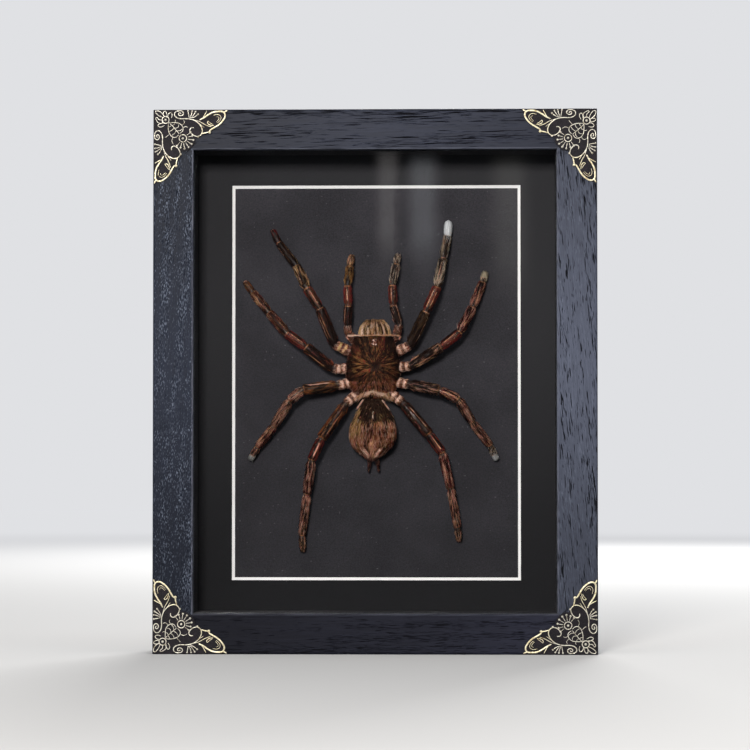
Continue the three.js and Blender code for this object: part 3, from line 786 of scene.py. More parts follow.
# One run of hair and cuticle colours, dark to pale. A strand or a spot of skin picks its place on it.
furStops = [
    (0.00, tone(13, 7, 6)),
    (0.10, tone(37, 21, 16)),
    (0.20, tone(56, 39, 28)),
    (0.30, tone(80, 63, 39)),
    (0.40, tone(86, 50, 33)),
    (0.50, tone(124, 31, 42)),
    (0.58, tone(148, 74, 42)),
    (0.66, tone(160, 116, 62)),
    (0.74, tone(196, 164, 110)),
    (0.81, tone(214, 136, 122)),
    (0.88, tone(234, 212, 190)),
    (0.91, tone(178, 158, 122)),
    (0.94, tone(126, 126, 120)),
    (1.00, tone(228, 232, 236)),
]


def furFinish():
    finish = Finish("spider_hair")
    across, up, _ = finish.axes(finish.add("UVMap", {"uv_map": "OFBake"}))
    colour = finish.add("ValToRGB", {"stops": furStops}, {0: across})
    # painted shade and light: each strand is darker at its root, where the coat shades it, and lighter towards its tip
    finish.give(finish.shade(colour, 0.5 + up * 0.85), 0.5, 0.03)
    return finish


def skinFinish(name, rough, streaks, gloss, coat):
    finish = Finish(name)
    tint = finish.add("Attribute", {"attribute_name": "tint"}, output=2)
    colour = finish.add("ValToRGB", {"stops": furStops}, {0: tint})
    grain = finish.noise(finish.scaled(finish.add("UVMap", {"uv_map": "OFBake"}), streaks), 1.0, 3, 0.6)
    colour = finish.shade(colour, finish.vary(grain, 0.45, 1.1))
    relief = finish.bump(grain, 0.35, 0.0001)
    finish.give(colour, finish.vary(grain, rough, rough + 0.2), gloss, relief, {"Coat Weight": coat})
    return finish


hairFinish = furFinish()
limbFinish = skinFinish("spider_limb_skin", 0.32, (26, 9, 1), 0.2, 0.06)
shellFinish = skinFinish("spider_shell_skin", 0.55, (30, 12, 1), 0.04, 0.0)


def streakField(rng, around, along):
    # a table of random values, read smoothly, that wraps round the form
    table = rng.random((around, along + 1))

    def read(turn, run):
        u = (turn / (2 * math.pi)) % 1 * around
        v = np.clip(run, 0, 0.9999) * along
        i, j = u.astype(int) % around, v.astype(int)
        fu, fv = u - u.astype(int), v - j
        k = (i + 1) % around
        low = table[i, j] * (1 - fu) + table[k, j] * fu
        high = table[i, j + 1] * (1 - fu) + table[k, j + 1] * fu
        return low * (1 - fv) + high * fv

    return read


class Draws:
    # the random draws for a coat of so many strands
    def __init__(self, rng, count):
        self.rng, self.count = rng, count

    def about(self, value, spread):
        return value + self.rng.normal(0, spread, self.count)

    def chance(self, share):
        return self.rng.random(self.count) < share

    def pick(self, values, shares=None):
        return self.rng.choice(values, self.count, p=shares)

    def sized(self, size, least, span=0.6):
        return size * (least + span * self.rng.random(self.count))

    def lifts(self, middle, spread, low, high):
        return np.radians(np.clip(self.rng.normal(middle, spread, self.count), low, high))

    def swayed(self, normal, along, spread):
        return along + np.cross(normal, along) * self.rng.normal(0, spread, self.count)[:, None]


def growHair(name, root, normal, comb, length, width, lift, tint, rng, droop=None, glow=0.0):
    # every strand is a closed three-sided spike; droop gives it a second, lower half
    # and glow lightens it towards its root by lifting the painted root shade
    count = len(root)
    comb = unit(comb - normal * (comb * normal).sum(1)[:, None])
    sideways = np.cross(comb, normal)
    way = unit(comb + normal * np.tan(lift)[:, None])
    upward = np.cross(sideways, way)
    spin = rng.random(count) * 2 * math.pi
    length, half = length[:, None], width[:, None] / 2

    def ring(centre, size):
        angles = [(spin + third * 2 * math.pi / 3)[:, None] for third in range(3)]
        return [centre + (sideways * np.cos(angle) + upward * np.sin(angle)) * size for angle in angles]

    rows = ring(root - normal * 0.08, half)
    if droop is None:
        rows.append(root + way * length)
        pattern = [(0, 2, 1), (0, 1, 3), (1, 2, 3), (2, 0, 3)]
        heights = [(0, 0.02, 0)] + [(0.05, 0.05, 1)] * 3
    else:
        fall = unit(comb - normal * np.tan(droop)[:, None])
        middle = root + way * length * 0.5
        rows += [*ring(middle, half * 0.8), middle + fall * length * 0.5]
        pattern = [(0, 2, 1), (0, 1, 4), (0, 4, 3), (1, 2, 5), (1, 5, 4), (2, 0, 3), (2, 3, 5)]
        pattern += [(3, 4, 6), (4, 5, 6), (5, 3, 6)]
        heights = [(0, 0.02, 0)] + [(0.05, 0.05, 0.5), (0.05, 0.5, 0.5)] * 3 + [(0.5, 0.5, 1)] * 3
    loops = np.ravel(pattern) + (np.arange(count) * len(rows))[:, None]
    maps = np.empty((count, len(pattern), 3, 2))
    maps[..., 0] = np.clip(tint, 0.012, 0.988)[:, None, None] + np.array([-0.004, 0.004, 0.0])
    glow = np.reshape(glow, (-1, 1, 1))
    maps[..., 1] = glow + (1 - glow) * np.array(heights)
    corners = np.stack(rows, axis=1).reshape(-1, 3)
    return addMesh(name, hairFinish, corners, loops.ravel(), np.full(count * len(pattern), 3), maps)


def plant(form, draws, reach=math.pi):
    # roots spread evenly over a form's skin
    arcs = np.linspace(0, form["arc"][-1], 400)
    share = np.cumsum(np.interp(arcs, form["arc"], form["half"] + form["above"]) + 1e-6)
    arc = np.interp(draws.rng.random(draws.count), share / share[-1], arcs)
    turn = -reach + 2 * reach * draws.rng.random(draws.count)
    return arc, turn, *surfaceFrame(form, arc, turn)


hairLook = {"density": 6.4, "width": 0.17, "lift": 8.0, "skinInset": 0.2}

# Each segment is (length, heading); headings are degrees seen from the front, 0 right and 90 up.
legPlan = {
    "leg_1_left": {"coxa": (-9.5, 155), "hip": (-18.8, 159.6), "knuckle": (-21.7, 160.7),
                   "reach": [(20.5, 112), (12.5, 123), (13.5, 115), (15.5, 128), (7.2, 116)]},
    "leg_2_left": {"coxa": (-9.5, 148.5), "hip": (-19.6, 148), "knuckle": (-22.6, 148),
                   "reach": [(18, 141), (12.5, 144), (14.5, 131), (14, 129), (6.8, 126)]},
    "leg_3_left": {"coxa": (-9.5, 142), "hip": (-17.6, 139.8), "knuckle": (-20.2, 139.3),
                   "reach": [(18, -173), (9, -142), (15.5, -122), (14.5, -128), (7.6, -121)]},
    "leg_4_left": {"coxa": (-7.5, 136.5), "hip": (-13.6, 131.8), "knuckle": (-15.9, 129.6),
                   "reach": [(22, -125), (12.5, -115), (18, -98), (22, -97), (8.2, -87)]},
    "leg_1_right": {"coxa": (7.1, 155), "hip": (15.2, 159), "knuckle": (17.7, 160.1),
                    "reach": [(19.5, 64), (14.5, 66), (15.5, 78), (12.5, 79), (7.2, 88)]},
    "leg_2_right": {"coxa": (7.1, 148.5), "hip": (15.8, 149.2), "knuckle": (18.3, 149.5),
                    "reach": [(18.5, 32), (12.5, 38), (15, 63), (14.5, 68), (5.4, 75)]},
    "leg_3_right": {"coxa": (7.1, 142), "hip": (14.9, 140.2), "knuckle": (17.4, 140),
                    "reach": [(16, -12), (11, -24), (14, -59), (15.5, -52), (8.2, -66)]},
    "leg_4_right": {"coxa": (5.1, 136.5), "hip": (11.5, 132.2), "knuckle": (14, 130.1),
                    "reach": [(21.5, -50), (12, -54), (19, -77), (21, -80), (6.8, -84)]},
}
legShape = {
    "heights": [5.4, 6.6, 7, 9.6, 9.2, 6, 3.4, 2.2],
    "radii": [(3, 2.7), (2.6, 2.6), (2.5, 2.6), (2.3, 2.4), (2.2, 2.1), (2, 1.9), (1.85, 1.6)],
    "hair": [1.4, 1.4, 3.4, 2.4, 3.8, 3.4, 2.0],
}
palpPlan = {
    "palp_left": {"coxa": (-8.6, 160.6), "hip": (-14.5, 166.2),
                  "reach": [(4.5, 98), (10.5, 87), (10.5, 92), (10.5, 84), (5.6, 79)]},
    "palp_right": {"coxa": (6.2, 160.6), "hip": (10.8, 165.9),
                   "reach": [(5.5, 77), (10.5, 106), (10.5, 93), (11.5, 80), (5.2, 81)]},
}
palpShape = {
    "heights": [5, 6, 6.8, 7.6, 7, 5, 3],
    "radii": [(2.4, 2.3), (2.1, 2.1), (2, 2.1), (2.1, 2.1), (1.9, 2), (1.9, 1.6)],
    "hair": [1.4, 1.6, 3.0, 2.4, 3.2, 2.2],
}

# For each segment from the coxa out: ground tint, streak tint, share of streaks, bare stripes.
# A stripe is (degrees round from the front, right-hand side positive, half width, tint). Some stripes are
# the leg's own markings, such as the pale pairs on the knees; others, along a leg's lit edge, are painted
# highlights.
pairOfStripes = [(-22, 6, 0.87), (20, 5, 0.83)]
usualRoot = [(0.10, 0.40, 0.2, []), (0.853, 0.872, 0.3, [])]
limbLooks = {
    "leg_1_left": [
        (0.10, 0.30, 0.2, []), (0.735, 0.86, 0.4, []), (0.08, 0.42, 0.1, [(-58, 7, 0.84), (-24, 2, 0.80)]),
        (0.36, 0.50, 0.35, [(16, 5, 0.87)]), (0.33, 0.75, 0.25, [(-38, 4, 0.86)]),
        (0.05, 0.36, 0.1, [(62, 4, 0.74), (-66, 4, 0.82)]), (0.08, 0.48, 0.24, [])],
    "leg_2_left": [
        *usualRoot, (0.10, 0.56, 0.18, [(-50, 6, 0.76)]),
        (0.46, 0.51, 0.2, [(-16, 3, 0.84), (24, 2, 0.82)]), (0.42, 0.78, 0.12, [(34, 2, 0.76)]),
        (0.42, 0.78, 0.22, [(-60, 4, 0.85), (54, 4, 0.76)]), (0.38, 0.60, 0.28, [])],
    "leg_3_left": [
        *usualRoot, (0.32, 0.60, 0.26, [(50, 13, 0.84)]),
        (0.46, 0.82, 0.38, []), (0.45, 0.80, 0.46, []), (0.44, 0.79, 0.24, [(50, 5, 0.82)]),
        (0.42, 0.80, 0.3, [])],
    "leg_4_left": [
        *usualRoot, (0.40, 0.60, 0.34, [(30, 4, 0.76), (-24, 3, 0.80)]),
        (0.50, 0.52, 0.2, [(-6, 9, 0.815)]), (0.46, 0.81, 0.32, []), (0.55, 0.81, 0.42, [(6, 5, 0.83)]),
        (0.30, 0.80, 0.3, [(50, 9, 0.85), (-50, 9, 0.85)])],
    "leg_1_right": [
        (0.10, 0.30, 0.2, []), (0.853, 0.872, 0.3, []), (0.10, 0.31, 0.24, [(62, 5, 0.86)]),
        (0.46, 0.52, 0.2, pairOfStripes), (0.30, 0.90, 0.34, [(-12, 4, 0.86)]), (0.26, 0.90, 0.38, [(-50, 9, 0.875)]),
        (0.99, 1.0, 0.5, [])],
    "leg_2_right": [
        *usualRoot, (0.12, 0.78, 0.22, [(34, 4, 0.8)]),
        (0.48, 0.52, 0.2, [(-22, 5, 0.83), (20, 4, 0.82)]), (0.46, 0.80, 0.34, []), (0.48, 0.79, 0.32, [(56, 6, 0.83)]),
        (0.40, 0.90, 0.4, [])],
    "leg_3_right": [
        *usualRoot, (0.16, 0.80, 0.2, [(-42, 3, 0.80), (30, 3, 0.86)]),
        (0.49, 0.81, 0.32, [(-10, 9, 0.82), (34, 4, 0.8)]), (0.46, 0.80, 0.38, []),
        (0.46, 0.80, 0.32, [(-54, 5, 0.84)]), (0.36, 0.90, 0.4, [])],
    "leg_4_right": [
        *usualRoot, (0.20, 0.44, 0.24, [(-36, 4, 0.84), (38, 2, 0.83)]),
        (0.50, 0.51, 0.2, [(-14, 7, 0.815)]), (0.49, 0.82, 0.3, [(22, 3, 0.84)]), (0.56, 0.81, 0.42, [(-6, 5, 0.83)]),
        (0.30, 0.80, 0.3, [(50, 9, 0.85), (-50, 9, 0.85)])],
    "palp_left": [
        (0.10, 0.4, 0.2, []), (0.12, 0.6, 0.3, []), (0.09, 0.44, 0.14, [(-50, 7, 0.84)]),
        (0.48, 0.50, 0.15, [(-12, 7, 0.87)]), (0.38, 0.66, 0.4, []),
        (0.46, 0.75, 0.4, [(-52, 8, 0.84), (52, 7, 0.80)])],
    "palp_right": [
        (0.10, 0.4, 0.2, []), (0.08, 0.82, 0.1, []), (0.10, 0.84, 0.1, [(50, 7, 0.86)]),
        (0.45, 0.50, 0.15, [(-22, 5, 0.85), (20, 4, 0.83)]), (0.34, 0.90, 0.42, []), (0.40, 0.89, 0.75, [])],
}
# how pale the very tips are, and over what length
palerTips = {
    "leg_1_left": (0.84, 1.0), "leg_2_left": (0.83, 1.8), "leg_3_left": (0.95, 5.4),
    "leg_1_right": (0.985, 14.5), "leg_2_right": (0.925, 7.4), "leg_3_right": (0.955, 6.4),
}
baldTip = {"leg": "leg_1_right", "radii": (2.25, 2.3), "hair": 0.8, "keep": 0.35}


def joints(limb, heights):
    spots = [limb[key] for key in ("coxa", "hip", "knuckle") if key in limb]
    x, z = spots[-1]
    for length, heading in limb["reach"]:
        angle = math.radians(heading)
        x, z = x + length * math.cos(angle), z + length * math.sin(angle)
        spots.append((x, z))
    return [np.array((x, cardFace - h, z)) for (x, z), h in zip(spots, heights)]


def limbForm(points, radii, inset):
    spots, radius, piece, run = [], [], [], []
    for number, (start, end) in enumerate(zip(points, points[1:])):
        length = np.linalg.norm(end - start)
        steps = max(3, int(length / 0.5))
        last = number == len(points) - 2
        near, far = radii[number]
        for i in range(steps + last):
            f = i / steps
            waist = 0.13 * math.exp(-((f * length / 1.1) ** 2)) * (number > 1)
            waist += 0.13 * math.exp(-(((1 - f) * length / 1.1) ** 2)) * (number > 0 and not last)
            swell = 1 + 0.06 * math.sin(math.pi * f)
            spots.append(start + (end - start) * f)
            radius.append((near * (1 - f) + far * f) * (1 - waist) * swell)
            piece.append(number)
            run.append(f)
    spots = np.vstack([spots, spots[-1] + (spots[-1] - spots[-2]) * radii[-1][1]])
    radius, piece, run = (np.append(values, values[-1]) for values in (radius, piece, run))
    kernel = np.exp(-(np.arange(-4, 5) ** 2) / (2 * 1.8**2))
    padded = np.pad(spots, ((4, 4), (0, 0)), "edge")
    soft = np.stack([np.convolve(column, kernel / kernel.sum(), "valid") for column in padded.T], axis=1)
    soft[0], soft[-1] = spots[0], spots[-1]
    radius = np.maximum(radius - inset, 0.3)
    arc = arcOf(soft)
    close = np.clip((arc[-1] - arc) / (radius[-1] * 1.5), 0, 1)
    radius = radius * np.sqrt(np.clip(1 - (1 - close) ** 2, 0.0004, 1))
    along = unit(np.gradient(soft, axis=0))
    front = np.array([0.0, -1.0, 0.0])
    up = unit(front - along * (along @ front)[:, None])
    sizes = {"half": radius, "above": radius, "below": radius, "square": np.ones(len(soft))}
    return makeForm(centre=soft, side=np.cross(along, up), up=up, piece=piece, run=run, **sizes)


def addLimb(name, plan, shape, seed):
    rng = np.random.default_rng(seed)
    looks = limbLooks[name]
    bald = name == baldTip["leg"]
    points = joints(plan, shape["heights"])
    radii = shape["radii"][:-1] + [baldTip["radii"]] if bald else shape["radii"]
    form = limbForm(points, radii, hairLook["skinInset"])
    lengths = np.array([np.linalg.norm(b - a) for a, b in zip(points, points[1:])])
    ground, streak, share = (np.array([look[i] for look in looks]) for i in range(3))
    fields = [streakField(rng, 30, max(2, int(length / 3.4))) for length in lengths]
    wobble = streakField(rng, 16, 2)
    total = form["arc"][-1]
    outer = len(lengths) - 1
    paleTint, paleReach = palerTips.get(name, (0, 0))

    def zones(arc, turn):
        index = np.clip(np.searchsorted(form["arc"], arc), 0, len(form["arc"]) - 1)
        piece, run = form["piece"][index], form["run"][index]
        field, stripeAndSheen = np.zeros(len(turn)), np.zeros(len(turn))
        for number, look in enumerate(looks):
            here = piece == number
            field[here] = fields[number](turn[here], run[here])
            # some stripes are the leg's own markings, others painted highlights along a lit edge
            for degrees, half, tint in look[3]:
                off = np.abs((turn - math.radians(degrees) + math.pi) % (2 * math.pi) - math.pi)
                stripeAndSheen[here & (off < math.radians(half)) & (run > 0.2) & (run < 0.86)] = tint
        # pale rings where the segments meet, beyond the hip
        past, left = run * lengths[piece], (1 - run) * lengths[piece]
        near = (piece >= 2) * (piece < outer - bald) * np.exp(-((left / 0.42) ** 2))
        ring = np.maximum(near, (piece >= 3) * (piece < outer + 1 - bald) * 0.7 * np.exp(-((past / 0.32) ** 2)))
        # the pale bars each side of the hip, uneven, with a dark gap between
        left = left + 0.8 * (wobble(turn, run * 0) - 0.5)
        band = (piece == 0) & ((left > 1.7) & (left < 3.2) | (left < 0.1)) | (piece == 1) & (lengths[1] - left < 1.6)
        middle = np.where(piece == 0, np.abs(left - 2.45), np.abs(lengths[1] - left - 0.75))
        return piece, run, field, stripeAndSheen, ring, band, middle

    def skinTint(arc, turn, spots):
        piece, _, field, stripeAndSheen, ring, band, _ = zones(arc, turn)
        base = ground[piece]
        value = np.where(base > 0.8, base, np.where(field < 0.5, 0.04, base * 0.8))
        value[total - arc < paleReach * 0.6] = paleTint
        value = np.where(stripeAndSheen > 0, stripeAndSheen, value)
        value[ring > 0.5] = 0.76
        return np.where(piece < 2, np.where(band, ground[1], 0.38), value)

    skin = skinMesh(name, limbFinish, form, 30, 0.5, skinTint)
    draws = Draws(rng, int(total * 2 * math.pi * form["half"].mean() * hairLook["density"]))
    arc, turn, spot, normal, along = plant(form, draws)
    piece, run, field, stripeAndSheen, ring, band, middle = zones(arc, turn)
    hip = piece < 2
    field = draws.about(field, 0.11)
    tint = draws.about(np.where(field > 0.9 - share[piece] * 0.9, streak[piece], ground[piece]), 0.035)
    tint = np.where((field < 0.45) & (ground[piece] < 0.8), draws.about(0.05, 0.02), tint)
    tint = np.where(stripeAndSheen > 0, draws.about(stripeAndSheen, 0.02), tint)
    tint = np.where(draws.chance(ring * 0.5), draws.about(0.83, 0.05), tint)
    cream = np.where(field > 0.48, streak[1], ground[1])
    cream = np.where(draws.chance(0.28), draws.pick([0.46, 0.80, 0.66]), cream)
    cream[(field < 0.4) | (middle < 0.34) & (field < 0.62)] = 0.42
    gap = np.where(draws.chance(0.5), 0.44, 0.15)
    tint = np.where(hip, draws.about(np.where(band, cream, gap), 0.012), tint)
    tint = np.where(hip & ~band & draws.chance(0.24), draws.about(0.85, 0.02), tint)
    left = total - arc
    pale = draws.chance(smooth(paleReach, paleReach * 0.5, left)) if paleReach else False
    tint = np.where(pale, draws.about(paleTint, 0.012), tint)
    if bald:
        # the white tip starts with a mix of cream and brown
        start = (piece == outer) & ~draws.chance(smooth(-0.1, 0.42, run))
        tint = np.where(start, draws.pick([0.872, 0.74, 0.9]), tint)
    length = draws.sized(np.array(shape["hair"])[piece], 0.55)
    length = np.where(ring > 0.3, length * 0.4, length)
    length = np.where(stripeAndSheen > 0, length * 0.7, length)
    length[hip] = 1.2
    length = np.minimum(length, left * 0.85 + 0.3)
    # a strand stops short of the next joint, so that the rings stay clear
    toJoint = np.where(hip | (piece == outer), np.inf, (1 - run) * lengths[piece] + 0.5)
    length = np.maximum(np.minimum(length, toJoint), 0.3)
    comb = draws.swayed(normal, along, 0.12)
    lift = draws.lifts(hairLook["lift"], 4.5, 1.5, 28) * np.clip(left / 2, 0.3, 1)
    keep = (stripeAndSheen == 0) | draws.chance(0.35)
    if bald:
        keep &= (piece < outer) | draws.chance(baldTip["keep"])
        length[piece == outer] = baldTip["hair"]
    width = draws.sized(hairLook["width"], 0.7)
    glow = np.where(band, 0.6, np.where(stripeAndSheen > 0, 0.3, 0.0))
    rows = [values[keep] for values in (spot, normal, comb, length, width, lift, tint)]
    seat("spider_" + name, "spider_limb", skin, growHair(name + "_hair", *rows, rng, glow=glow[keep]))


for plans, shape, seed in ((legPlan, legShape, 100), (palpPlan, palpShape, 200)):
    for number, (name, plan) in enumerate(plans.items()):
        addLimb(name, plan, shape, seed + number)
print("legs and palps grown")


# Rows are z, middle x, half width, height of the middle, rise above it, drop below it.
carapaceRows = [
    (132.3, -1.2, 0.6, 6.6, 0.4, 0.6),
    (133.2, -1.2, 5.2, 6.6, 1.4, 1.6),
    (134.6, -1.3, 8.4, 6.6, 2.4, 2.6),
    (137.5, -1.4, 11.6, 6.6, 3.6, 3.6),
    (141.5, -1.5, 13.4, 6.7, 4.6, 4.2),
    (146.0, -1.5, 14.1, 6.8, 5.2, 4.4),
    (150.0, -1.5, 14.0, 6.9, 5.5, 4.4),
    (154.5, -1.4, 13.0, 7.1, 5.8, 4.4),
    (159.0, -1.2, 11.6, 7.4, 6.0, 4.2),
    (162.5, -1.1, 10.6, 7.6, 5.5, 4.0),
    (164.6, -1.0, 9.9, 7.6, 4.2, 3.4),
    (165.5, -1.0, 8.6, 7.6, 2.4, 2.4),
    (165.9, -1.0, 1.0, 7.6, 0.6, 0.6),
]
abdomenRows = [
    (132.4, -1.0, 0.5, 7.4, 0.5, 0.5),
    (131.6, -1.0, 4.2, 7.6, 2.6, 2.4),
    (129.8, -0.9, 5.8, 7.9, 4.0, 3.8),
    (127.0, -1.0, 7.6, 8.1, 5.2, 4.8),
    (122.5, -1.3, 10.0, 8.3, 6.3, 5.6),
    (117.5, -1.6, 11.2, 8.3, 6.9, 6.0),
    (113.0, -1.7, 11.4, 8.2, 6.8, 6.0),
    (109.0, -1.9, 10.4, 7.8, 6.0, 5.4),
    (105.5, -2.0, 7.4, 7.2, 4.7, 4.4),
    (102.8, -2.1, 4.2, 6.6, 3.3, 3.2),
    (101.0, -2.1, 2.1, 6.2, 1.9, 1.8),
    (100.2, -2.1, 0.5, 6.0, 0.4, 0.4),
]
jawRows = [
    (160.6, 0.0, 2.8, 6.4, 2.6, 2.4),
    (163.0, 0.0, 3.9, 6.8, 3.9, 3.4),
    (166.5, 0.1, 4.2, 6.8, 4.4, 3.6),
    (169.5, -0.3, 3.9, 6.4, 4.2, 3.4),
    (171.6, -0.9, 3.2, 6.0, 3.6, 3.0),
    (173.2, -1.5, 2.4, 5.7, 2.5, 2.2),
    (174.0, -2.0, 0.6, 5.5, 0.5, 0.5),
]
fovea = (-0.6, 149.2)
# glow lifts the painted shade at each strand's root
bodyCoats = {
    "carapace": {"count": 13000, "length": 1.9, "atFovea": 0.9, "width": 0.15, "glow": 0.3},
    "abdomen": {"count": 15000, "rearLength": 4.2, "frontLength": 2.0, "width": 0.14, "glow": 0.05},
    "loose": {"count": 2100, "length": 4.4, "width": 0.16, "glow": 0.75},
    "jaw": {"count": 3600, "length": 1.9, "width": 0.14, "glow": 0.75},
    "spinneret": {"count": 420, "length": 1.8, "width": 0.13},
}
# x counts off the abdomen's middle
spinnerets = {
    "middle": -1.4, "root": (1.6, 103, 6), "tip": (2.6, 94.6, 4), "radii": [(1.1, 1.0), (1.0, 0.85), (0.8, 0.6)],
    "skinInset": 0.15, "tint": 0.07,
}
# Rows of strands between two points, all combed one way: start and end as x, z and height, then
# how many, length, way, tint, lift, width, how far the roots and the tints scatter, and glow, which lifts
# the painted root shade, if not 0.5.
carapaceTufts = {
    "rim_left": ((-15.0, 165.3, 8.2), (-8.5, 165.4, 11.6), 200, 1.5, (1, 0, 0.1), 0.865, 5, 0.19, 0.18, 0.02),
    "rim_middle": ((-8.5, 165.4, 11.8), (7.0, 165.5, 11.8), 300, 1.4, (1, 0, 0), 0.76, 5, 0.17, 0.17, 0.07),
    "rim_right": ((12.7, 165.3, 8.2), (7.0, 165.5, 11.6), 170, 1.5, (-1, 0, 0.1), 0.77, 5, 0.18, 0.18, 0.05),
    "rim_curl_left": ((-15.4, 164.9, 8.2), (-14.6, 163.6, 8.4), 40, 0.9, (0.4, 0, -1), 0.82, 5, 0.2, 0.2, 0.03),
    "rim_curl_right": ((12.9, 164.9, 8.2), (12.2, 163.8, 8.4), 36, 0.9, (-0.4, 0, -1), 0.82, 5, 0.2, 0.2, 0.03),
    "nape_left": ((-9.0, 133.4, 8.4), (-2.4, 137.0, 9.8), 120, 2.8, (-0.5, 0, -1), 0.77, 24, 0.2, 0.8, 0.06),
    "nape_right": ((-2.0, 137.0, 9.8), (8.0, 133.2, 8.2), 160, 2.8, (0.4, 0, -1), 0.77, 24, 0.2, 0.8, 0.06),
    "nape_edge_left": ((-5.6, 134.6, 9.6), (-2.0, 136.1, 10.2), 46, 2.0, (-1, 0, -0.5), 0.865, 16, 0.24, 0.4, 0.012),
    "nape_edge_right": ((-2.0, 136.1, 10.2), (3.8, 134.4, 9.6), 60, 2.0, (1, 0, -0.5), 0.865, 16, 0.24, 0.4, 0.012),
    "collar_left": ((-6.6, 131.9, 9.5), (-9.4, 127.8, 10.6), 100, 2.0, (-0.6, 0, -0.8), 0.85, 6, 0.17, 0.18, 0.04),
    "collar_right": ((3.2, 131.6, 9.5), (6.4, 127.3, 10.8), 100, 2.0, (0.6, 0, -0.8), 0.85, 6, 0.17, 0.18, 0.04),
    "brow": ((-1.3, 159.6, 13.2), (-0.2, 162.8, 13.3), 40, 1.0, (0.1, 0, 1), 0.85, 20, 0.14, 0.35, 0.03),
}
abdomenTufts = {
    "heart_mark": ((-1.4, 126.0, 14.0), (-1.5, 122.8, 14.9), 26, 1.6, (0, 0, -1), 0.87, 6, 0.16, 0.12, 0.03),
    "tail_left": ((-6.4, 106.0, 12.6), (-4.2, 102.6, 11.4), 80, 2.2, (0.7, 0, -0.7), 0.85, 6, 0.18, 0.4, 0.04, 0.9),
    "tail_right": ((2.4, 106.0, 12.6), (0.2, 102.6, 11.4), 80, 2.2, (-0.7, 0, -0.7), 0.85, 6, 0.18, 0.4, 0.04, 0.9),
    "tail_middle": ((-2.4, 110.4, 15.4), (-2.0, 103.0, 12.4), 130, 2.4, (0, 0, -1), 0.785, 8, 0.17, 0.8, 0.035, 0.9),
}
eyeMound = {"middle": (-0.6, 161.6, 12.3), "half": (2.7, 1.15, 1.9), "eyeHeight": 13.4}
# each eye's x, z, radius and kind; a pale eye is partly its own pearly colour, partly a painted glint
eyes = [
    (-1.15, 162.8, 0.46, "pale"), (-0.1, 162.5, 0.3, "dark"), (-2.0, 162.0, 0.3, "dark"), (0.9, 162.0, 0.3, "dark"),
    (-1.15, 160.7, 0.42, "pale"), (0.1, 160.6, 0.42, "pale"), (-1.95, 161.0, 0.24, "pale"), (1.1, 161.1, 0.24, "dark"),
]


def at(x, z, height):
    return (x, cardFace - height, z)


def bodyForm(rows, square, shift=0.0, **extra):
    rows = np.array(rows, float)
    spot = np.linspace(0, len(rows) - 1, 60)
    dense = np.stack([np.interp(spot, np.arange(len(rows)), column) for column in rows.T])
    for column in dense:
        column[2:-2] = np.convolve(column, np.array([1, 2, 3, 2, 1]) / 9, "valid")
    z, x, half, height, above, below = dense
    side, up = (np.tile(way, (len(z), 1)) for way in ((np.sign(z[-1] - z[0]), 0.0, 0.0), (0.0, -1.0, 0.0)))
    sizes = {"half": half, "above": above, "below": below, "square": np.full(len(z), square)}
    return makeForm(centre=np.stack([x + shift, cardFace - height, z], axis=1), side=side, up=up, **sizes, **extra)


def sculptCarapace(spots):
    dx, dz = spots[:, 0] - fovea[0], spots[:, 2] - fovea[1]
    reach, angle = np.hypot(dx, dz), np.arctan2(dz, dx)
    onTop = smooth(9, 14, cardFace - spots[:, 1])
    pit = 1.0 * np.exp(-(dx**2) / 3.5 - dz**2 / 2.2)
    furrow = 0.32 * (0.5 - 0.5 * np.cos(angle * 8 + 0.6)) * smooth(2, 5, reach) * smooth(13.5, 9, reach)
    neck = 0.5 * np.exp(-((np.abs(dx) - (1.0 + 0.75 * np.maximum(dz, 0))) ** 2) / 1.2) * (dz > 0) * (dz < 11)
    depth = (pit + furrow + neck) * onTop
    return spots + depth[:, None] * np.array([0, 1, 0])


def growTufts(table, rng):
    made = []
    for name, (start, end, count, length, way, tint, lift, width, spread, tintSpread, *glow) in table.items():
        draws = Draws(rng, count)
        start, end = np.array(at(*start)), np.array(at(*end))
        root = start + (end - start) * rng.random(count)[:, None]
        root += rng.normal(0, spread, (count, 3)) * np.array([1, 0.5, 1])
        normal = np.tile([0.0, -1.0, 0.0], (count, 1))
        comb = np.array(way, float) + rng.normal(0, 0.12, (count, 3))
        size, rise = draws.sized(length, 0.6), draws.lifts(lift, 6, 0, 40)
        width, shade = draws.sized(width, 0.8, 0.4), draws.about(tint, tintSpread)
        made.append(growHair(name, root, normal, comb, size, width, rise, shade, rng, glow=glow or 0.5))
    return made


def addEyes():
    kinds = {"pale": Finish("pearl_and_glint_eye"), "dark": Finish("dark_eye")}
    # the pale eyes carry a painted glint of light as well as the eyes' pearly colour
    kinds["pale"].give(tone(232, 208, 194), 0.15, more={"Coat Weight": 0.4})
    kinds["dark"].give(tone(44, 22, 16), 0.12, more={"Coat Weight": 0.3})
    dark = Finish("eye_mound")
    grit = dark.noise(dark.place(), 1.8, 3, 0.6)
    dark.give(dark.shade(tone(84, 42, 34), dark.vary(grit, 0.5, 1.3)), 0.6, 0.1)
    parts = [ball(at(*eyeMound["middle"]), eyeMound["half"], dark, 32, 16)]
    for x, z, size, kind in eyes:
        parts.append(ball(at(x, z, eyeMound["eyeHeight"]), (size, size, size), kinds[kind], 16, 10))
    cluster = joinAs("eye_cluster", parts)
    bpy.ops.object.shade_smooth()
    return cluster


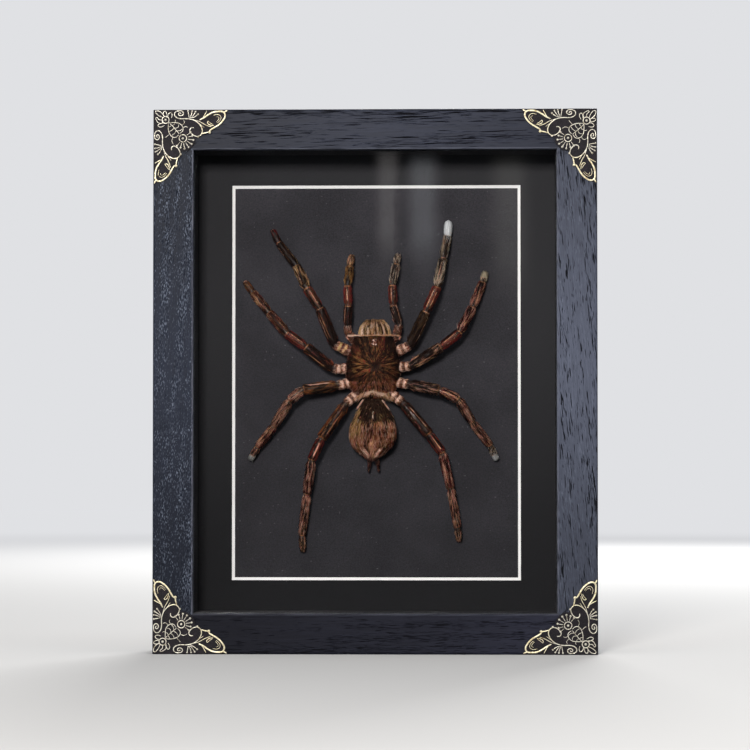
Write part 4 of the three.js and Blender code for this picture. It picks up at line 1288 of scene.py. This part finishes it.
def addCarapace():
    rng = np.random.default_rng(7)
    coat = bodyCoats["carapace"]
    form = bodyForm(carapaceRows, 0.86, sculpt=sculptCarapace)
    field = streakField(rng, 74, 6)

    def look(x, z):
        dx, dz = x - fovea[0], z - fovea[1]
        reach, angle = np.hypot(dx, dz), np.arctan2(dz, dx)
        sunny = (np.abs(dx) > 2.5) & (dz > -3) & (dz < 5.5) & (reach < 10.5)
        gold = (np.abs(x - 0.8 - (z - 151.5) * 0.12) < 1.6) & (z > 151.5) & (z < 158)
        # zone over zone: where, ground, light and share of light strands; None leaves a value as it is
        zones = [
            (reach < 99, 0.17, 0.42, 0.3),
            (reach < 10.5, 0.38, None, 0.34),
            ((reach > 2) & (reach < 10.5), None, 0.60, None),
            (sunny & (dx < 0), None, 0.64, 0.6),
            (sunny & (dx >= 0), None, 0.61, 0.4),
            ((z > 153) & (np.abs(dx) < 8), 0.22, 0.60, 0.26),
            # painted shade: the right front, turned from the light, gets a dark ground and few light strands
            ((x > 4) & (x < 10.5) & (z > 154.5), 0.10, None, 0.05),
            ((x > 1.6) & (x < 4.6) & (z > 156.5), 0.44, None, None),
            (gold, 0.40, 0.65, None),
            (reach < 2.3, 0.40, 0.43, 0.2),
            (z < 142, 0.42, 0.59, 0.42),
        ]
        values = np.zeros((3, len(x)))
        for here, *row in zones:
            for number, value in enumerate(row):
                if value is not None:
                    values[number, here] = value
        return *values, field(angle, np.clip(reach / 17, 0, 0.99)), reach

    def skinTint(arc, turn, spots):
        _, light, share, value, reach = look(spots[:, 0], spots[:, 2])
        return np.where(value > 1 - share * 0.7, light * 0.8, np.where(reach < 2, 0.06, 0.12))

    skin = skinMesh("carapace", shellFinish, form, 72, 0.45, skinTint)
    draws = Draws(rng, coat["count"])
    arc, turn, spot, normal, _ = plant(form, draws, 1.75)
    x, _, z = spot.T
    ground, light, share, value, reach = look(x, z)
    value = draws.about(value, 0.16)
    tint = draws.about(np.where(value > 1 - share, light, ground), 0.045)
    tint[value < np.where(reach < 2.6, 0.5, 0.44)] = 0.05
    tint = np.where(draws.chance(0.07) & (reach < 12), draws.pick([0.66, 0.55]), tint)
    tint = np.where((z < 142) & draws.chance(0.3), draws.pick([0.815, 0.64]), tint)
    pale = np.where((z > 134) & (z < 149), 0.62, 0.2)
    tint = np.where((np.abs(turn) > 1.42) & draws.chance(pale), draws.about(0.84, 0.02), tint)
    # combed away from the fovea, and forward over the head
    out = np.stack([x - fovea[0], x * 0, z - fovea[1]], axis=1)
    comb = unit(out - normal * (out * normal).sum(1)[:, None])
    comb[z > 156] = comb[z > 156] * 0.4 + np.array([0, 0, 1.0])
    length = draws.sized(coat["length"], 0.6, 0.7)
    length[reach < 2.5] = coat["atFovea"]
    width, lift = draws.sized(coat["width"], 0.7), draws.lifts(9, 5, 1, 30)
    fur = growHair("carapace_coat", spot, normal, comb, length, width, lift, tint, rng, glow=coat["glow"])
    fur = joinAs("carapace_hair", [fur, *growTufts(carapaceTufts, rng)])
    seat("spider_cephalothorax", "spider_shell", skin, fur, addEyes())


def addAbdomen():
    rng = np.random.default_rng(11)
    coat, loose = bodyCoats["abdomen"], bodyCoats["loose"]
    form = bodyForm(abdomenRows, 0.96)
    field = streakField(rng, 110, 8)
    total = form["arc"][-1]

    def look(x, z, turn, arc):
        front = smooth(119.5, 122.5, z)
        ground, light, share = (a * (1 - front) + b * front for a, b in ((0.39, 0.17), (0.79, 0.27), (0.48, 0.3)))
        edge = (x < -7.5) & (z > 114)
        light[edge], share[edge] = 0.70, 0.58
        return ground, light, share, field(turn, arc / total), front

    def skinTint(arc, turn, spots):
        ground, light, share, value, _ = look(spots[:, 0], spots[:, 2], turn, arc)
        return np.where(value > 1 - share * 0.5, light * 0.6, ground * 0.6)

    skin = skinMesh("abdomen", shellFinish, form, 64, 0.45, skinTint)
    draws = Draws(rng, coat["count"])
    arc, turn, spot, normal, along = plant(form, draws)
    x, _, z = spot.T
    ragged = draws.about(z, 0.9) + 2.4 * (field(turn * 3, arc / total) - 0.5)
    ground, light, share, value, front = look(x, ragged, turn, arc)
    rear = smooth(-108, -101, -z)
    # the rear coat mixes red-brown, gold, salmon and pale strands
    ground = np.where(front < 0.5, draws.pick([0.40, 0.46, 0.32, 0.12], [0.36, 0.2, 0.16, 0.28]), ground)
    mixed = draws.pick([0.57, 0.64, 0.79, 0.84], [0.36, 0.22, 0.26, 0.16])
    light = np.where((front < 0.5) & (light > 0.75), mixed, light)
    value = draws.about(value, 0.12)
    tint = draws.about(np.where(value > 0.96 - share, light, ground), 0.03)
    tint[value < np.where(front > 0.5, 0.4, 0.38)] = 0.05
    tint[draws.chance(0.04 + rear * 0.6)] = 0.82
    tint = np.where((front > 0.5) & (x > -7.5) & draws.chance(0.8), np.minimum(tint, 0.26), tint)
    comb = draws.swayed(normal, along, 0.16)
    length = draws.sized(coat["rearLength"] * (1 - front) + coat["frontLength"] * front, 0.55, 0.65)
    length = np.minimum(length, np.maximum(total - arc, 0.5) + 1.2)
    width, lift = draws.sized(coat["width"], 0.7), draws.lifts(14, 6, 3, 34)
    droop = np.radians(rng.normal(4, 6, coat["count"]))
    fur = growHair("abdomen_coat", spot, normal, comb, length, width, lift, tint, rng, droop, coat["glow"])
    # longer pale strands lie over the rear coat, less tidily
    draws = Draws(rng, loose["count"])
    arc, turn, spot, normal, along = plant(form, draws)
    behind = (spot[:, 2] < 120.5) | draws.chance(0.06)
    spot, normal, along, arc = spot[behind], normal[behind], along[behind], arc[behind]
    draws.count = len(arc)
    comb = draws.swayed(normal, along, 0.34)
    tint = draws.about(draws.pick([0.79, 0.86, 0.70, 0.57], [0.3, 0.2, 0.16, 0.34]), 0.012)
    length = np.minimum(draws.sized(loose["length"], 0.5), total - arc + 1.2)
    lift, droop = draws.lifts(21, 5, 8, 36), np.radians(draws.about(6, 6))
    width = np.full(len(arc), loose["width"])
    strays = growHair("abdomen_strays", spot, normal, comb, length, width, lift, tint, rng, droop, loose["glow"])
    fur = joinAs("abdomen_hair", [fur, strays, *growTufts(abdomenTufts, rng)])
    seat("spider_abdomen", "spider_fur", skin, fur)


def addJaw(name, x, seed, brightSide):
    rng = np.random.default_rng(seed)
    coat = bodyCoats["jaw"]
    form = bodyForm([(z, middle * brightSide, *rest) for z, middle, *rest in jawRows], 0.82, x)
    field = streakField(rng, 52, 3)
    total = form["arc"][-1]

    def skinTint(arc, turn, spots):
        return np.where(field(turn, arc / total) > 0.6, 0.3, 0.16)

    skin = skinMesh(name, shellFinish, form, 40, 0.4, skinTint)
    draws = Draws(rng, coat["count"])
    arc, turn, spot, normal, along = plant(form, draws)
    value = draws.about(field(turn, arc / total), 0.07)
    tint = draws.about(np.where(value > 0.46, 0.765, 0.72), 0.015)
    tint[value < 0.38] = 0.22
    tint = np.where(draws.chance(0.24), draws.pick([0.3, 0.14, 0.44]), tint)
    tint[((spot[:, 0] - x) * brightSide > 2.2) & (value > 0.3)] = 0.75
    tint[(value > 0.66) & (spot[:, 2] < 171)] = 0.868
    comb = draws.swayed(normal, along, 0.12)
    length = np.minimum(draws.sized(coat["length"], 0.6), total - arc + 0.35)
    width, lift = draws.sized(coat["width"], 0.7), draws.lifts(7, 4, 1, 24)
    fur = growHair(name + "_hair", spot, normal, comb, length, width, lift, tint, rng, glow=coat["glow"])
    seat("spider_" + name, "spider_fur", skin, fur)


def addSpinneret(name, side, seed):
    rng = np.random.default_rng(seed)
    coat = bodyCoats["spinneret"]
    ends = ((spinnerets["middle"] + side * x, z, height) for x, z, height in (spinnerets["root"], spinnerets["tip"]))
    root, tip = (np.array(at(*end)) for end in ends)
    points = [root + (tip - root) * share for share in (0, 0.35, 0.7, 1)]
    form = limbForm(points, spinnerets["radii"], spinnerets["skinInset"])

    def skinTint(arc, turn, spots):
        return np.full(len(arc), spinnerets["tint"])

    skin = skinMesh(name, limbFinish, form, 16, 0.4, skinTint)
    draws = Draws(rng, coat["count"])
    arc, turn, spot, normal, along = plant(form, draws)
    tint = draws.about(draws.pick([0.12, 0.43, 0.79], [0.55, 0.33, 0.12]), 0.02)
    length = np.minimum(draws.sized(coat["length"], 0.6), form["arc"][-1] - arc + 0.8)
    lift, width = draws.lifts(12, 6, 1, 30), np.full(coat["count"], coat["width"])
    fur = growHair(name + "_hair", spot, normal, along, length, width, lift, tint, rng)
    seat("spider_" + name, "spider_limb", skin, fur)


addCarapace()
addAbdomen()
addJaw("chelicera_left", -4.8, 21, -1)
addJaw("chelicera_right", 3.4, 22, 1)
addSpinneret("spinneret_left", -1, 31)
addSpinneret("spinneret_right", 1, 32)
print("body grown")

bpy.context.view_layer.update()
faces = sum(len(piece.data.loop_triangles) or len(piece.data.polygons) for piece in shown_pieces() if piece.type == "MESH")
print("about", faces, "faces in all")
